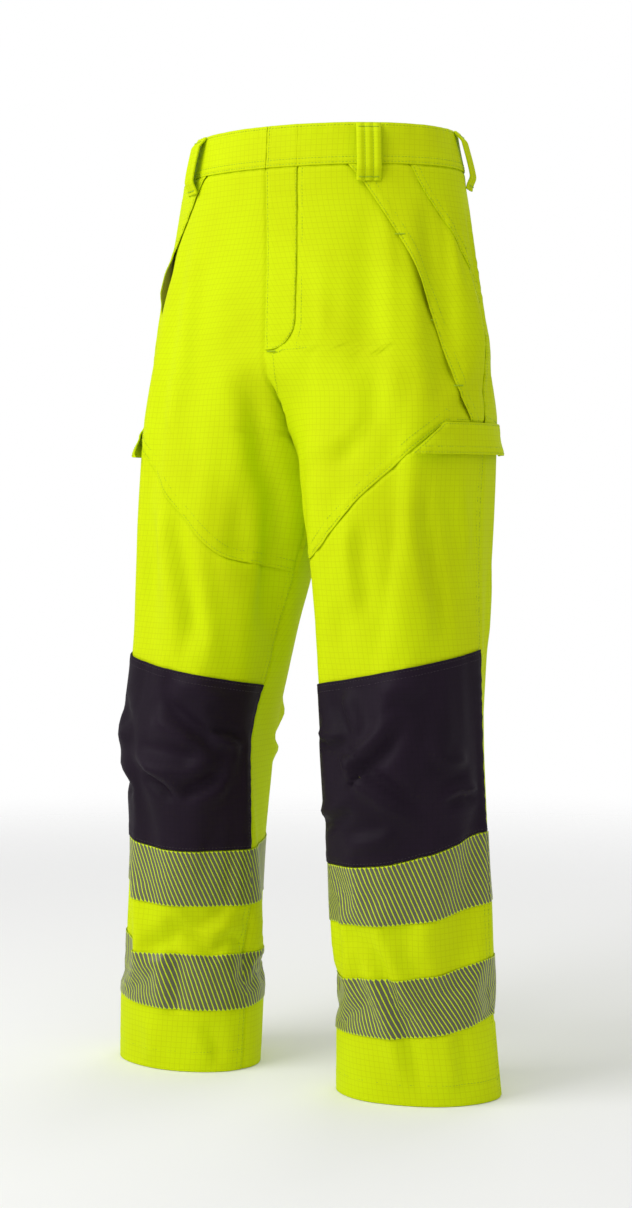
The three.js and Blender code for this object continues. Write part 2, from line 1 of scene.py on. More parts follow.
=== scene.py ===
"""High-visibility protective trousers: cloth, stitching, bands and fastenings on the fixed frame.

Metres throughout. +Z is up, -Y is the wearer's front, +X is the wearer's left, and the origin is the
middle of the waist opening, on the plane of the waistband's top edge.
"""

import logging
import math
from dataclasses import dataclass, field
from enum import Enum
from functools import cached_property
from typing import Callable, Optional, Sequence

import bmesh
import bpy
import numpy as np
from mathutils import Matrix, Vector
from mathutils.kdtree import KDTree

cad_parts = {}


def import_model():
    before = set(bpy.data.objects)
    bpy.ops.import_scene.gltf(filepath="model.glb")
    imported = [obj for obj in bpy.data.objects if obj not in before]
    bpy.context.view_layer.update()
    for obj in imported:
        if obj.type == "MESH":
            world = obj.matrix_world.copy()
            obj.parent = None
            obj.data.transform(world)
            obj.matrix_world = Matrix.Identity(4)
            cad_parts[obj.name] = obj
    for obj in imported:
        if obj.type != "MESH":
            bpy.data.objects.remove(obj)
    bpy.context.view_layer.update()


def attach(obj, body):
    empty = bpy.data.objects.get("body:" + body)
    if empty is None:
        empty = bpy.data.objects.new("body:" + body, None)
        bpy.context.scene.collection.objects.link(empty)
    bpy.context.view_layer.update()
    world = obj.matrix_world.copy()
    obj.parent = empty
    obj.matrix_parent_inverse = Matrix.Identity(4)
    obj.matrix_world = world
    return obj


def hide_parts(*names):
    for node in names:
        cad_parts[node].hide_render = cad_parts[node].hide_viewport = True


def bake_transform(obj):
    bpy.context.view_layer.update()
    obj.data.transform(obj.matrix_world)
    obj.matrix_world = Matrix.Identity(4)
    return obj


logging.basicConfig(level=logging.INFO, format="%(message)s")
log = logging.getLogger("trousers")

Array = np.ndarray
Line = Callable[[Array], Array]


# ---------------------------------------------------------------- small maths
def mix(a: Array, b: Array, share: Array) -> Array:
    """Return the value `share` of the way from a to b."""
    return a + (b - a) * share


def smooth(value: Array) -> Array:
    """Return 0 below 0, 1 above 1 and a smooth step between them."""
    held = np.clip(value, 0.0, 1.0)
    return held * held * (3.0 - 2.0 * held)


def bell(distance: Array, width: float) -> Array:
    """Return a bump that is 1 at no distance and falls away over width."""
    return np.exp(-((distance / width) ** 2))


class SmoothCurve:
    """A smooth curve through (position, value) points that never overshoots them."""

    def __init__(self, points: Sequence[tuple]) -> None:
        """Work out the slope at each point.

        Args:
            points: position and value pairs, in rising order of position.
        """
        table = np.array(points, float)
        self.at, self.value = table[:, 0], table[:, 1]
        rise = np.diff(self.value) / np.diff(self.at)
        before, after = rise[:-1], rise[1:]
        total = np.where(before * after <= 0, 1.0, before + after)
        inner = np.where(before * after <= 0, 0.0, 2 * before * after / total)
        self.slope = np.concatenate([rise[:1], inner, rise[-1:]])

    def __call__(self, at: Array) -> Array:
        """Return the curve's values at the positions given."""
        held = np.clip(np.asarray(at, float), self.at[0], self.at[-1])
        i = np.clip(np.searchsorted(self.at, held, side="right") - 1, 0, len(self.at) - 2)
        width = self.at[i + 1] - self.at[i]
        s = (held - self.at[i]) / width
        start = (1 + 2 * s) * (1 - s) ** 2 * self.value[i] + s * (1 - s) ** 2 * width * self.slope[i]
        end = s * s * (3 - 2 * s) * self.value[i + 1] - s * s * (1 - s) * width * self.slope[i + 1]
        return start + end


class Side(Enum):
    """Which half of the trousers, as the wearer has it."""

    LEFT = 1
    RIGHT = -1

    @property
    def word(self) -> str:
        """Return the ending that the half's pieces have in their names."""
        return self.name.lower()


# ---------------------------------------------------------------- the body's form
@dataclass(frozen=True)
class Form:
    """The outer surface of the left half, as turned ellipses at a row of levels."""

    # height, centre x, centre y, half width, half depth, turn in degrees
    levels: tuple = (
        (-1.072, 0.153, -0.051, 0.092, 0.070, 16),
        (-0.882, 0.145, -0.052, 0.083, 0.081, 8),
        (-0.691, 0.138, -0.051, 0.079, 0.095, 10),
        (-0.543, 0.126, -0.034, 0.084, 0.108, 2),
        (-0.416, 0.1105, -0.028, 0.1005, 0.119, 0),
        (-0.352, 0.107, -0.021, 0.1045, 0.117, 0),
        (-0.290, 0.103, -0.017, 0.1085, 0.113, 0),
        (-0.226, 0.066, -0.017, 0.148, 0.105, 0),
        (-0.142, 0.019, -0.012, 0.182, 0.107, 0),
        (-0.057, 0.0, -0.0085, 0.174, 0.112, 0),
        (0.0, 0.0, 0.0, 0.156, 0.1175, 0),
    )
    crotch: float = -0.352
    bridge_top: float = -0.250
    seam: float = 0.0003

    @cached_property
    def columns(self) -> list:
        """Return a curve down the body for each of the ellipse's sizes."""
        return [SmoothCurve([(row[0], row[i]) for row in self.levels]) for i in range(1, 6)]

    def section(self, t: Array, z: Array) -> tuple:
        """Return x and y of the surface at t degrees round the level z."""
        centre_x, centre_y, half_width, half_depth, turn = (c(z) for c in self.columns)
        angle, twist = np.radians(t), np.radians(turn)
        x, y = half_width * np.cos(angle), half_depth * np.sin(angle)
        px = centre_x + x * np.cos(twist) - y * np.sin(twist)
        py = centre_y + x * np.sin(twist) + y * np.cos(twist)
        flat = centre_y + np.sign(y) * half_depth
        share = smooth((z - self.crotch) / (self.bridge_top - self.crotch))
        return px, np.where(px < centre_x, mix(py, flat, share), py)

    def frame(self, t: Array, z: Array) -> tuple:
        """Return the point's x and y, the outward normal's x and y, and metres per degree."""
        step = 0.5
        x, y = self.section(t, z)
        low, high = np.maximum(t - step, -180), np.minimum(t + step, 180)
        x0, y0 = self.section(low, z)
        x1, y1 = self.section(high, z)
        size = np.maximum(np.hypot(x1 - x0, y1 - y0), 1e-9)
        return x, y, (y1 - y0) / size, -(x1 - x0) / size, size / (high - low)

    def angle_at(self, x: Array, z: Array) -> Array:
        """Return how far round the front of level z the surface reaches x."""
        c = (x - self.columns[0](z)) / self.columns[2](z)
        return np.where(c <= -1, 179.7, np.degrees(np.arccos(np.clip(c, -1, 1))))

    def front_middle(self, z: Array) -> Array:
        """Return the angle of centre front, or of the inseam below the crotch."""
        return -np.minimum(self.angle_at(self.seam, z), 179.7)

    def back_middle(self, z: Array) -> Array:
        """Return the angle of centre back, or of the inseam below the crotch."""
        return -self.front_middle(z)

    def per_degree(self, z: Array) -> Array:
        """Return the mean metres per degree round level z."""
        return np.hypot(self.columns[2](z), self.columns[3](z)) * math.sqrt(0.5) * math.pi / 180

    @cached_property
    def arc_table(self) -> tuple:
        """Return angles, levels and the distance round from the front crease, as a table."""
        t = np.linspace(-180, 180, 181)
        z = np.linspace(-1.06, 0.01, 108)
        grid_t, grid_z = np.meshgrid(t, z)
        pace = self.frame(grid_t, grid_z)[4]
        steps = (pace[:, 1:] + pace[:, :-1]) / 2 * np.diff(t)
        run = np.concatenate([np.zeros((len(z), 1)), np.cumsum(steps, axis=1)], axis=1)
        return t, z, run - run[:, [45]]

    def arc(self, t: Array, z: Array) -> Array:
        """Return the distance round the level from the front crease."""
        ts, zs, table = self.arc_table
        return sample(table, (z - zs[0]) / (zs[1] - zs[0]), (t - ts[0]) / (ts[1] - ts[0]))


def sample(table: Array, row: Array, column: Array) -> Array:
    """Return a table's values between its rows and columns.

    Args:
        table: values in rows and columns, with any further axes.
        row: fractional row of each point.
        column: fractional column of each point.
    """
    row = np.clip(row, 0, table.shape[0] - 1.001)
    column = np.clip(column, 0, table.shape[1] - 1.001)
    r, c = row.astype(int), column.astype(int)
    extra = (None,) * (table.ndim - 2)
    fr, fc = (row - r)[(...,) + extra], (column - c)[(...,) + extra]
    low = mix(table[r, c], table[r, c + 1], fc)
    high = mix(table[r + 1, c], table[r + 1, c + 1], fc)
    return mix(low, high, fr)


# ---------------------------------------------------------------- folds
@dataclass(frozen=True)
class Fold:
    """A fold of the cloth along a path of (degrees, height) points.

    A fold with a lean has a lesser fold of the other sense beside it, on the side of the lean's sign.
    """

    side: Side
    path: tuple
    width: float
    height: float
    lean: float = 0.0

    def lift(self, form: Form, arc: Array, z: Array) -> Array:
        """Return how far the fold moves the cloth out at each point.

        Args:
            form: the surface that the fold lies on.
            arc: distance of each point round its level.
            z: height of each point.
        """
        places = np.array(self.path, float)
        line = np.stack([form.arc(places[:, 0], places[:, 1]), places[:, 1]], 1)
        spans = np.linalg.norm(np.diff(line, axis=0), axis=1)
        total, run = spans.sum(), 0.0
        best = np.full(arc.shape, 9.0)
        signed, share = np.zeros(arc.shape), np.zeros(arc.shape)
        for (a, b), span in zip(zip(line[:-1], line[1:]), spans):
            way = (b - a) / span
            dx, dz = arc - a[0], z - a[1]
            along = np.clip(dx * way[0] + dz * way[1], 0, span)
            away = np.hypot(dx - along * way[0], dz - along * way[1])
            across = dx * way[1] - dz * way[0]
            nearer = away < best
            best = np.where(nearer, away, best)
            signed = np.where(nearer, np.sign(across) * away, signed)
            share = np.where(nearer, (run + along) / total, share)
            run += span
        ends = smooth(share / 0.3) * smooth((1 - share) / 0.3)
        shape = bell(best, self.width)
        beside = signed * math.copysign(1.0, self.lean) - 1.5 * self.width
        shape = shape - abs(self.lean) * bell(beside, 1.2 * self.width)
        return self.height * shape * ends


L, R = Side.LEFT, Side.RIGHT
FOLDS = (
    # crotch, fly and the fronts
    Fold(R, ((-116, -0.225), (-128, -0.27), (-136, -0.33), (-143, -0.40)), 0.015, -0.008, -0.6),
    Fold(R, ((-154, -0.37), (-158, -0.46), (-163, -0.56)), 0.012, -0.006, -0.6),
    Fold(L, ((-136, -0.385), (-112, -0.368), (-90, -0.355), (-74, -0.335)), 0.012, -0.005, -0.6),
    Fold(L, ((-74, -0.250), (-73, -0.296), (-74, -0.350)), 0.014, -0.0045, 0.7),
    Fold(L, ((-50, -0.250), (-51, -0.292), (-54, -0.350)), 0.012, -0.0045, 0.7),
    Fold(L, ((-84, -0.085), (-83, -0.144), (-88, -0.195), (-96, -0.222)), 0.010, -0.0045, 0.5),
    Fold(R, ((-58, -0.10), (-62, -0.18), (-72, -0.27)), 0.022, 0.003, 0.4),
    # thighs
    Fold(R, ((-82, -0.385), (-91, -0.444), (-112, -0.53), (-118, -0.575)), 0.013, -0.008, -0.8),
    Fold(R, ((-123, -0.455), (-148, -0.468)), 0.010, -0.005, -0.5),
    Fold(R, ((-58, -0.40), (-66, -0.47), (-64, -0.56)), 0.014, -0.004, -0.5),
    Fold(L, ((-76, -0.415), (-81, -0.476), (-84, -0.54)), 0.013, -0.006, 0.8),
    Fold(L, ((-44, -0.365), (-38, -0.426), (-29, -0.53), (-26, -0.575)), 0.011, -0.007, 0.8),
    Fold(L, ((-20, -0.385), (-12, -0.425), (-10, -0.47)), 0.010, 0.004, 0.5),
    Fold(L, ((-118, -0.42), (-108, -0.49), (-104, -0.565)), 0.014, -0.005, 0.6),
    Fold(L, ((-150, -0.43), (-146, -0.50), (-150, -0.58)), 0.012, -0.004, 0.5),
    # left knee
    Fold(L, ((-56, -0.626), (-75, -0.658), (-96, -0.686), (-74, -0.708), (-44, -0.738)), 0.009, -0.0101, 0.8),
    Fold(L, ((-150, -0.660), (-128, -0.663), (-104, -0.656)), 0.0055, -0.0068, -0.7),
    Fold(L, ((-114, -0.662), (-103, -0.672), (-97, -0.690)), 0.0055, -0.0068, 0.8),
    Fold(L, ((-160, -0.750), (-130, -0.742), (-98, -0.726)), 0.007, -0.0068, -0.7),
    Fold(L, ((-42, -0.722), (-24, -0.717), (-4, -0.719)), 0.0055, -0.0068, -0.8),
    Fold(L, ((-112, -0.602), (-104, -0.628), (-96, -0.655)), 0.010, 0.0074, 0.7),
    Fold(L, ((-52, -0.660), (-34, -0.676), (-14, -0.680)), 0.010, 0.0068, 0.7),
    Fold(L, ((-70, -0.750), (-90, -0.760), (-118, -0.768)), 0.009, 0.0061, 0.7),
    Fold(L, ((-84, -0.610), (-68, -0.602), (-40, -0.600)), 0.010, 0.0054, 0.7),
    # right knee
    Fold(R, ((-172, -0.668), (-160, -0.660), (-142, -0.655)), 0.0055, -0.0074, 0.8),
    Fold(R, ((-96, -0.620), (-124, -0.646), (-159, -0.676)), 0.010, -0.0095, -0.8),
    Fold(R, ((-88, -0.702), (-110, -0.718), (-122, -0.736)), 0.007, -0.0081, 0.8),
    Fold(R, ((-72, -0.684), (-100, -0.694), (-128, -0.700), (-156, -0.686)), 0.010, 0.0088, 0.8),
    Fold(R, ((-122, -0.728), (-140, -0.716), (-160, -0.700)), 0.008, -0.0074, -0.8),
    Fold(R, ((-40, -0.640), (-56, -0.664), (-76, -0.668)), 0.014, 0.0081, 0.6),
    Fold(R, ((-44, -0.712), (-58, -0.716), (-80, -0.730)), 0.010, -0.0081, 0.6),
    Fold(R, ((-100, -0.604), (-130, -0.612), (-158, -0.628)), 0.010, 0.0054, 0.7),
    # lower legs
    Fold(R, ((-130, -0.880), (-146, -0.866), (-162, -0.852)), 0.010, -0.0055, -0.7),
    Fold(R, ((-117, -0.895), (-119, -0.944), (-120, -0.985)), 0.009, -0.0060, -0.8),
    Fold(R, ((-140, -0.985), (-152, -1.006), (-160, -1.034)), 0.010, -0.0050, -0.6),
    Fold(R, ((-78, -0.80), (-82, -0.88), (-80, -0.96)), 0.014, 0.0040, -0.5),
    Fold(R, ((-92, -0.98), (-100, -1.005), (-98, -1.04)), 0.012, 0.0030, -0.5),
    Fold(L, ((-98, -0.850), (-91, -0.906), (-81, -0.954), (-76, -1.008), (-74, -1.04)), 0.010, -0.0070, 0.8),
    Fold(L, ((-41, -0.950), (-40, -0.985), (-41, -1.03)), 0.009, -0.0050, 0.7),
    Fold(L, ((-60, -0.830), (-56, -0.875), (-46, -0.920)), 0.012, 0.0040, 0.6),
    Fold(L, ((-126, -0.80), (-122, -0.88), (-126, -0.96)), 0.012, 0.0035, 0.5),
    # seat and back of the legs
    Fold(L, ((150, -0.27), (132, -0.34), (110, -0.40)), 0.014, -0.006, 0.6),
    Fold(R, ((148, -0.26), (130, -0.34), (108, -0.41)), 0.014, -0.006, -0.6),
    Fold(L, ((62, -0.13), (74, -0.22), (92, -0.31)), 0.020, 0.004, 0.5),
    Fold(R, ((60, -0.12), (76, -0.22), (90, -0.30)), 0.020, 0.004, 0.5),
    Fold(L, ((50, -0.600), (90, -0.632), (140, -0.606)), 0.010, -0.007, 0.8),
    Fold(R, ((54, -0.610), (95, -0.640), (140, -0.620)), 0.010, -0.007, 0.8),
    Fold(L, ((44, -0.672), (84, -0.660), (128, -0.684)), 0.009, -0.006, 0.8),
    Fold(R, ((50, -0.650), (92, -0.676), (150, -0.668)), 0.009, -0.006, 0.8),
    Fold(L, ((70, -0.725), (110, -0.710), (160, -0.730)), 0.010, -0.005, 0.8),
    Fold(R, ((40, -0.712), (80, -0.728), (120, -0.716)), 0.010, -0.005, 0.8),
    Fold(L, ((80, -0.40), (86, -0.50), (78, -0.58)), 0.016, 0.006, 0.6),
    Fold(R, ((84, -0.40), (78, -0.50), (86, -0.58)), 0.016, 0.006, 0.6),
    Fold(L, ((96, -0.78), (86, -0.90), (92, -1.02)), 0.013, 0.005, 0.7),
    Fold(R, ((84, -0.78), (94, -0.90), (88, -1.02)), 0.013, 0.005, -0.7),
    Fold(L, ((30, -0.46), (38, -0.52), (34, -0.58)), 0.012, -0.005, 0.7),
    Fold(R, ((24, -0.45), (34, -0.52), (30, -0.58)), 0.012, -0.005, -0.7),
    Fold(L, ((36, -0.79), (44, -0.88), (38, -0.97)), 0.012, -0.004, 0.6),
    Fold(R, ((34, -0.79), (40, -0.88), (36, -0.97)), 0.012, -0.004, -0.6),
)


@dataclass
class Drape:
    """How the cloth hangs: placed folds, then a cloth simulation of the whole garment."""

    form: Form
    columns: int = 76
    rows: int = 118
    top: float = -0.046
    bottom: float = -1.04
    spare: float = 0.018
    knee_spare: float = 0.050
    around: float = 0.002
    frames: int = 24
    most: float = 0.013
    quality: int = 5
    mass: float = 0.25
    stretch_stiffness: float = 30
    shear_stiffness: float = 12
    bending_stiffness: float = 0.35
    damping: float = 2
    gravity: float = 0.3
    tables: dict = field(default_factory=dict)

    def placed(self, side: Side, t: Array, z: Array) -> Array:
        """Return the lift of the placed folds and a slow unevenness of the cloth."""
        arc = self.form.arc(t, z)
        lift = np.zeros(np.broadcast(t, z).shape)
        for fold in FOLDS:
            if fold.side is side:
                lift = lift + fold.lift(self.form, arc, z)
        phase = 1.3 if side is Side.LEFT else 4.1
        slow = np.sin(arc * 41 + 3 * np.sin(z * 9 + phase) + phase)
        slow = slow + 0.6 * np.sin(arc * 77 - z * 14 + 2.1 * phase)
        first, last = self.form.front_middle(z), self.form.back_middle(z)
        inside = np.minimum(t - first, last - t) * self.form.per_degree(z)
        return (lift + 0.0007 * slow) * self.freedom(t, z) * smooth((inside - 0.001) / 0.020)

    def freedom(self, t: Array, z: Array) -> Array:
        """Return how free the cloth is: held at the band, by the fly and at the pocket flap."""
        band = smooth((-0.052 - z) / 0.06)
        x = np.abs(self.form.section(t, z)[0])
        fly = smooth((x - 0.03) / 0.05)
        high = smooth((z + 0.33) / 0.10) * (np.asarray(t) < 0)
        beside_fly = mix(1.0, fly, high)
        flap = bell(z + 0.335, 0.030) * smooth((np.asarray(t) + 62) / 20) * smooth((58 - np.asarray(t)) / 20)
        return band * beside_fly * (1 - 0.8 * flap)

    def grid(self, side: Side) -> tuple:
        """Return angles, heights and points of one half's simulation grid."""
        u, v = np.meshgrid(np.linspace(0, 1, self.columns + 1), np.linspace(0, 1, self.rows + 1))
        z = mix(self.bottom, self.top, v)
        t = mix(self.form.front_middle(z), self.form.back_middle(z), u)
        t = np.where((u == 0) & (t < -179), -180, np.where((u == 1) & (t > 179), 180, t))
        x, y, nx, ny, _ = self.form.frame(t, z)
        lift = self.placed(side, t, z)
        x = x + nx * lift
        seam = (u == 0) | (u == 1)
        x = np.where(seam & (np.abs(t) < 179.5), 0.0, x)
        return t, z, np.stack([x * side.value, y + ny * lift, z], -1)

    def settle(self) -> None:
        """Hang the garment: simulate it and keep how far each point moved."""
        start = {side: self.grid(side) for side in Side}
        mesh = bpy.data.meshes.new("hanging_form")
        work = bmesh.new()
        for side in Side:
            piece = bmesh.new()
            bmesh.ops.create_grid(piece, x_segments=self.columns, y_segments=self.rows, size=0.5)
            if side is Side.RIGHT:
                bmesh.ops.reverse_faces(piece, faces=piece.faces)
            for vert in piece.verts:
                column = round((vert.co.x + 0.5) * self.columns)
                row = round((vert.co.y + 0.5) * self.rows)
                vert.co = Vector(start[side][2][row, column])
            part = bpy.data.meshes.new("half_form")
            piece.to_mesh(part)
            piece.free()
            work.from_mesh(part)
            bpy.data.meshes.remove(part)
        bmesh.ops.remove_doubles(work, verts=work.verts, dist=0.0004)
        work.to_mesh(mesh)
        work.free()
        form = bpy.data.objects.new("hanging_form", mesh)
        bpy.context.scene.collection.objects.link(form)
        rest = read_points(mesh)
        self.hold(form, rest)
        moved = self.simulate(form)
        tree = KDTree(len(rest))
        for i, point in enumerate(rest):
            tree.insert(point, i)
        tree.balance()
        for side in Side:
            points = start[side][2]
            index = np.array([tree.find(p)[1] for p in points.reshape(-1, 3)])
            shift = (moved[index] - rest[index]).reshape(points.shape)
            size = np.linalg.norm(shift, axis=-1, keepdims=True)
            shift = shift * np.minimum(1.0, self.most / np.maximum(size, 1e-9))
            shift[..., 0] *= side.value
            self.tables[side] = shift
        bpy.data.objects.remove(form)
        bpy.data.meshes.remove(mesh)

    def hold(self, form: bpy.types.Object, rest: Array) -> None:
        """Hold the form at the waist and hem, and lightly everywhere else.

        Args:
            form: the simulated object.
            rest: its points.
        """
        group = form.vertex_groups.new(name="held")
        z = rest[:, 2]
        weight = 0.06 + 0.94 * smooth((z + 0.10) / 0.05)
        weight = np.maximum(weight, 0.85 * smooth((-0.93 - z) / 0.07))
        fly = bell(rest[:, 0], 0.06) * smooth((z + 0.26) / 0.05) * (rest[:, 1] < 0)
        flap = bell(z + 0.33, 0.025) * smooth((np.abs(rest[:, 0]) - 0.15) / 0.04)
        weight = np.clip(np.maximum.reduce([weight, fly, 0.7 * flap]), 0, 1)
        for i, value in enumerate(weight):
            group.add([i], float(value), "REPLACE")

    def simulate(self, form: bpy.types.Object) -> Array:
        """Run the cloth and return the points where it comes to rest."""
        form.shape_key_add(name="as_hung")
        cut = form.shape_key_add(name="as_cut")
        points = read_points(form.data)
        levels = np.linspace(self.top, self.bottom, 200)
        spare = self.spare * smooth((levels + 0.93) / 0.12) + self.knee_spare * bell(levels + 0.68, 0.09)
        run = self.top - np.concatenate([[0], np.cumsum((1 + spare[1:]) * -np.diff(levels))])
        points[:, 2] = np.interp(points[:, 2], levels[::-1], run[::-1])
        points[:, :2] *= 1 + self.around
        cut.data.foreach_set("co", points.ravel())
        modifier = form.modifiers.new("hang", "CLOTH")
        cloth = modifier.settings
        cloth.rest_shape_key = cut
        cloth.quality = self.quality
        cloth.mass = self.mass
        cloth.tension_stiffness = self.stretch_stiffness
        cloth.compression_stiffness = self.stretch_stiffness
        cloth.shear_stiffness = self.shear_stiffness
        cloth.bending_stiffness = self.bending_stiffness
        cloth.air_damping = self.damping
        cloth.vertex_group_mass = "held"
        cloth.pin_stiffness = 1.0
        cloth.effector_weights.gravity = self.gravity
        modifier.collision_settings.use_collision = False
        modifier.point_cache.frame_end = self.frames
        scene = bpy.context.scene
        for frame in range(1, self.frames + 1):
            scene.frame_set(frame)
        settled = form.evaluated_get(bpy.context.evaluated_depsgraph_get())
        points = read_points(settled.data)
        scene.frame_set(1)
        return points

    def shift(self, side: Side, t: Array, z: Array) -> Array:
        """Return how far the simulation moved the left-hand surface at each point."""
        if side not in self.tables:
            return np.zeros(np.broadcast(t, z).shape + (3,))
        first, last = self.form.front_middle(z), self.form.back_middle(z)
        u = (t - first) / (last - first)
        row = (z - self.bottom) / (self.top - self.bottom) * self.rows
        moved = sample(self.tables[side], row, u * self.columns)
        return moved * self.freedom(t, z)[..., None]


def read_points(mesh: bpy.types.Mesh) -> Array:
    """Return a mesh's points as rows of three numbers."""
    points = np.empty(len(mesh.vertices) * 3)
    mesh.vertices.foreach_get("co", points)
    return points.reshape(-1, 3)


# ---------------------------------------------------------------- shader graph
class Wire:
    """An output socket, or a number, that can be reckoned with like a number."""

    def __init__(self, graph: "Graph", socket: object) -> None:
        """Keep the graph and the socket or number."""
        self.graph, self.socket = graph, socket

    def _do(self, operation: str, *others: object) -> "Wire":
        return self.graph.math(operation, self, *others)

    def __add__(self, other: object) -> "Wire":
        """Return the sum."""
        return self._do("ADD", other)

    def __radd__(self, other: object) -> "Wire":
        """Return the sum, with the other value first."""
        return self.graph.math("ADD", other, self)

    def __sub__(self, other: object) -> "Wire":
        """Return the difference."""
        return self._do("SUBTRACT", other)

    def __rsub__(self, other: object) -> "Wire":
        """Return the difference, with the other value first."""
        return self.graph.math("SUBTRACT", other, self)

    def __mul__(self, other: object) -> "Wire":
        """Return the product."""
        return self._do("MULTIPLY", other)

    def __rmul__(self, other: object) -> "Wire":
        """Return the product, with the other value first."""
        return self.graph.math("MULTIPLY", other, self)

    def __truediv__(self, other: object) -> "Wire":
        """Return the quotient."""
        return self._do("DIVIDE", other)

    def fract(self) -> "Wire":
        """Return the part after the point."""
        return self._do("FRACT")

    def size(self) -> "Wire":
        """Return the value without its sign."""
        return self._do("ABSOLUTE")

    def wave(self) -> "Wire":
        """Return the sine."""
        return self._do("SINE")

    def step(self, low: float, high: float) -> "Wire":
        """Return a smooth step from 0 at low to 1 at high."""
        node = self.graph.node("ShaderNodeMapRange", {"interpolation_type": "SMOOTHSTEP"},
                               {"Value": self, "From Min": low, "From Max": high})
        return Wire(self.graph, node.outputs["Result"])


class Graph:
    """A material's node tree, built through one method."""

    def __init__(self, name: str) -> None:
        """Start an empty material of that name."""
        self.material = bpy.data.materials.new(name)
        self.material.use_nodes = True
        self.tree = self.material.node_tree
        self.tree.nodes.clear()

    def node(self, kind: str, settings: Optional[dict] = None,
             inputs: Optional[dict] = None) -> bpy.types.Node:
        """Add a node.

        Args:
            kind: its type.
            settings: its properties.
            inputs: values or wires for its inputs, by name or place.

        Returns:
            The node.
        """
        made = self.tree.nodes.new(kind)
        for key, value in (settings or {}).items():
            setattr(made, key, value)
        for key, value in (inputs or {}).items():
            if isinstance(value, Wire):
                value = value.socket
            if isinstance(value, bpy.types.NodeSocket):
                self.tree.links.new(value, made.inputs[key])
            else:
                made.inputs[key].default_value = value
        return made

    def math(self, operation: str, *values: object) -> Wire:
        """Return a sum, product or other reckoning of the values."""
        made = self.node("ShaderNodeMath", {"operation": operation}, dict(enumerate(values)))
        return Wire(self, made.outputs[0])

    def cloth_place(self) -> tuple:
        """Return metres across and metres up the cloth, and both together."""
        place = self.node("ShaderNodeUVMap", {"uv_map": "cut"}).outputs["UV"]
        parts = self.node("ShaderNodeSeparateXYZ", None, {"Vector": place})
        return Wire(self, parts.outputs["X"]), Wire(self, parts.outputs["Y"]), place

    def noise(self, place: object, scale: float, detail: float = 3.0) -> Wire:
        """Return cloudy noise at a place, with `scale` clouds to the metre."""
        made = self.node("ShaderNodeTexNoise", None,
                         {"Vector": place, "Scale": scale, "Detail": detail})
        return Wire(self, made.outputs["Fac"])

    def object_place(self) -> bpy.types.NodeSocket:
        """Return the place in the piece's own space."""
        return self.node("ShaderNodeTexCoord").outputs["Object"]

    def blend(self, share: object, first: object, second: object) -> Wire:
        """Return a colour between two others.

        Args:
            share: 0 for the first, 1 for the second.
            first: colour or wire.
            second: colour or wire.
        """
        made = self.node("ShaderNodeMix", {"data_type": "RGBA"},
                         {"Factor": share, "A": first, "B": second})
        return Wire(self, made.outputs["Result"])

    def bump(self, height: Wire, depth: float) -> Wire:
        """Return normals for a relief `depth` metres deep."""
        made = self.node("ShaderNodeBump", None, {"Height": height, "Distance": depth, "Strength": 1.0})
        return Wire(self, made.outputs["Normal"])

    def finish(self, **inputs: object) -> bpy.types.Material:
        """End the material in one Principled shader and return it."""
        named = {key.replace("_", " "): value for key, value in inputs.items()}
        shader = self.node("ShaderNodeBsdfPrincipled", None, named)
        out = self.node("ShaderNodeOutputMaterial")
        self.tree.links.new(shader.outputs["BSDF"], out.inputs["Surface"])
        return self.material


def colour(red: int, green: int, blue: int) -> tuple:
    """Return a display colour, given in 0 to 255, as a linear one."""
    parts = [c / 255 for c in (red, green, blue)]
    linear = [c / 12.92 if c <= 0.04045 else ((c + 0.055) / 1.055) ** 2.4 for c in parts]
    return (*linear, 1.0)


# ---------------------------------------------------------------- finishes
@dataclass(frozen=True)
class Ripstop:
    """Woven cloth with a grid of thicker yarns."""

    name: str
    base: tuple
    deep: tuple
    yarn: tuple
    grid: float = 0.006
    thread: float = 0.00055
    roughness: float = 0.72
    sheen: float = 0.0
    gloss: float = 0.08

    def weave(self, graph: Graph, u: Wire, v: Wire) -> tuple:
        """Return how near each point is to a thick yarn, and the cloth's relief."""
        def yarn(way: Wire) -> Wire:
            return ((way / self.grid).fract() - 0.5).size().step(0.43, 0.48)

        grid = graph.math("MAXIMUM", yarn(u), yarn(v))
        turn = 2 * math.pi / self.thread
        threads = (u * turn).wave() * (v * turn).wave()
        return grid, grid * 0.35 + threads * 0.22

    def make(self) -> bpy.types.Material:
        """Return the cloth's material."""
        graph = Graph(self.name)
        u, v, place = graph.cloth_place()
        grid, relief = self.weave(graph, u, v)
        cloudy = graph.noise(place, 9.0, 4.0)
        fibres = graph.noise(place, 900.0, 2.0)
        tone = graph.blend(cloudy.step(0.3, 0.75) * 0.55, self.base, self.deep)
        tone = graph.blend(grid * (0.04 + fibres * 0.42), tone, self.yarn)
        tone = graph.blend(fibres.step(0.55, 0.8) * 0.12, tone, self.deep)
        rough = self.roughness + (fibres - 0.5) * 0.2
        normal = graph.bump(relief + fibres * 0.35, 0.00005)
        return graph.finish(Base_Color=tone, Roughness=rough, Normal=normal, Sheen_Weight=self.sheen,
                            Sheen_Roughness=0.4, Specular_IOR_Level=self.gloss)


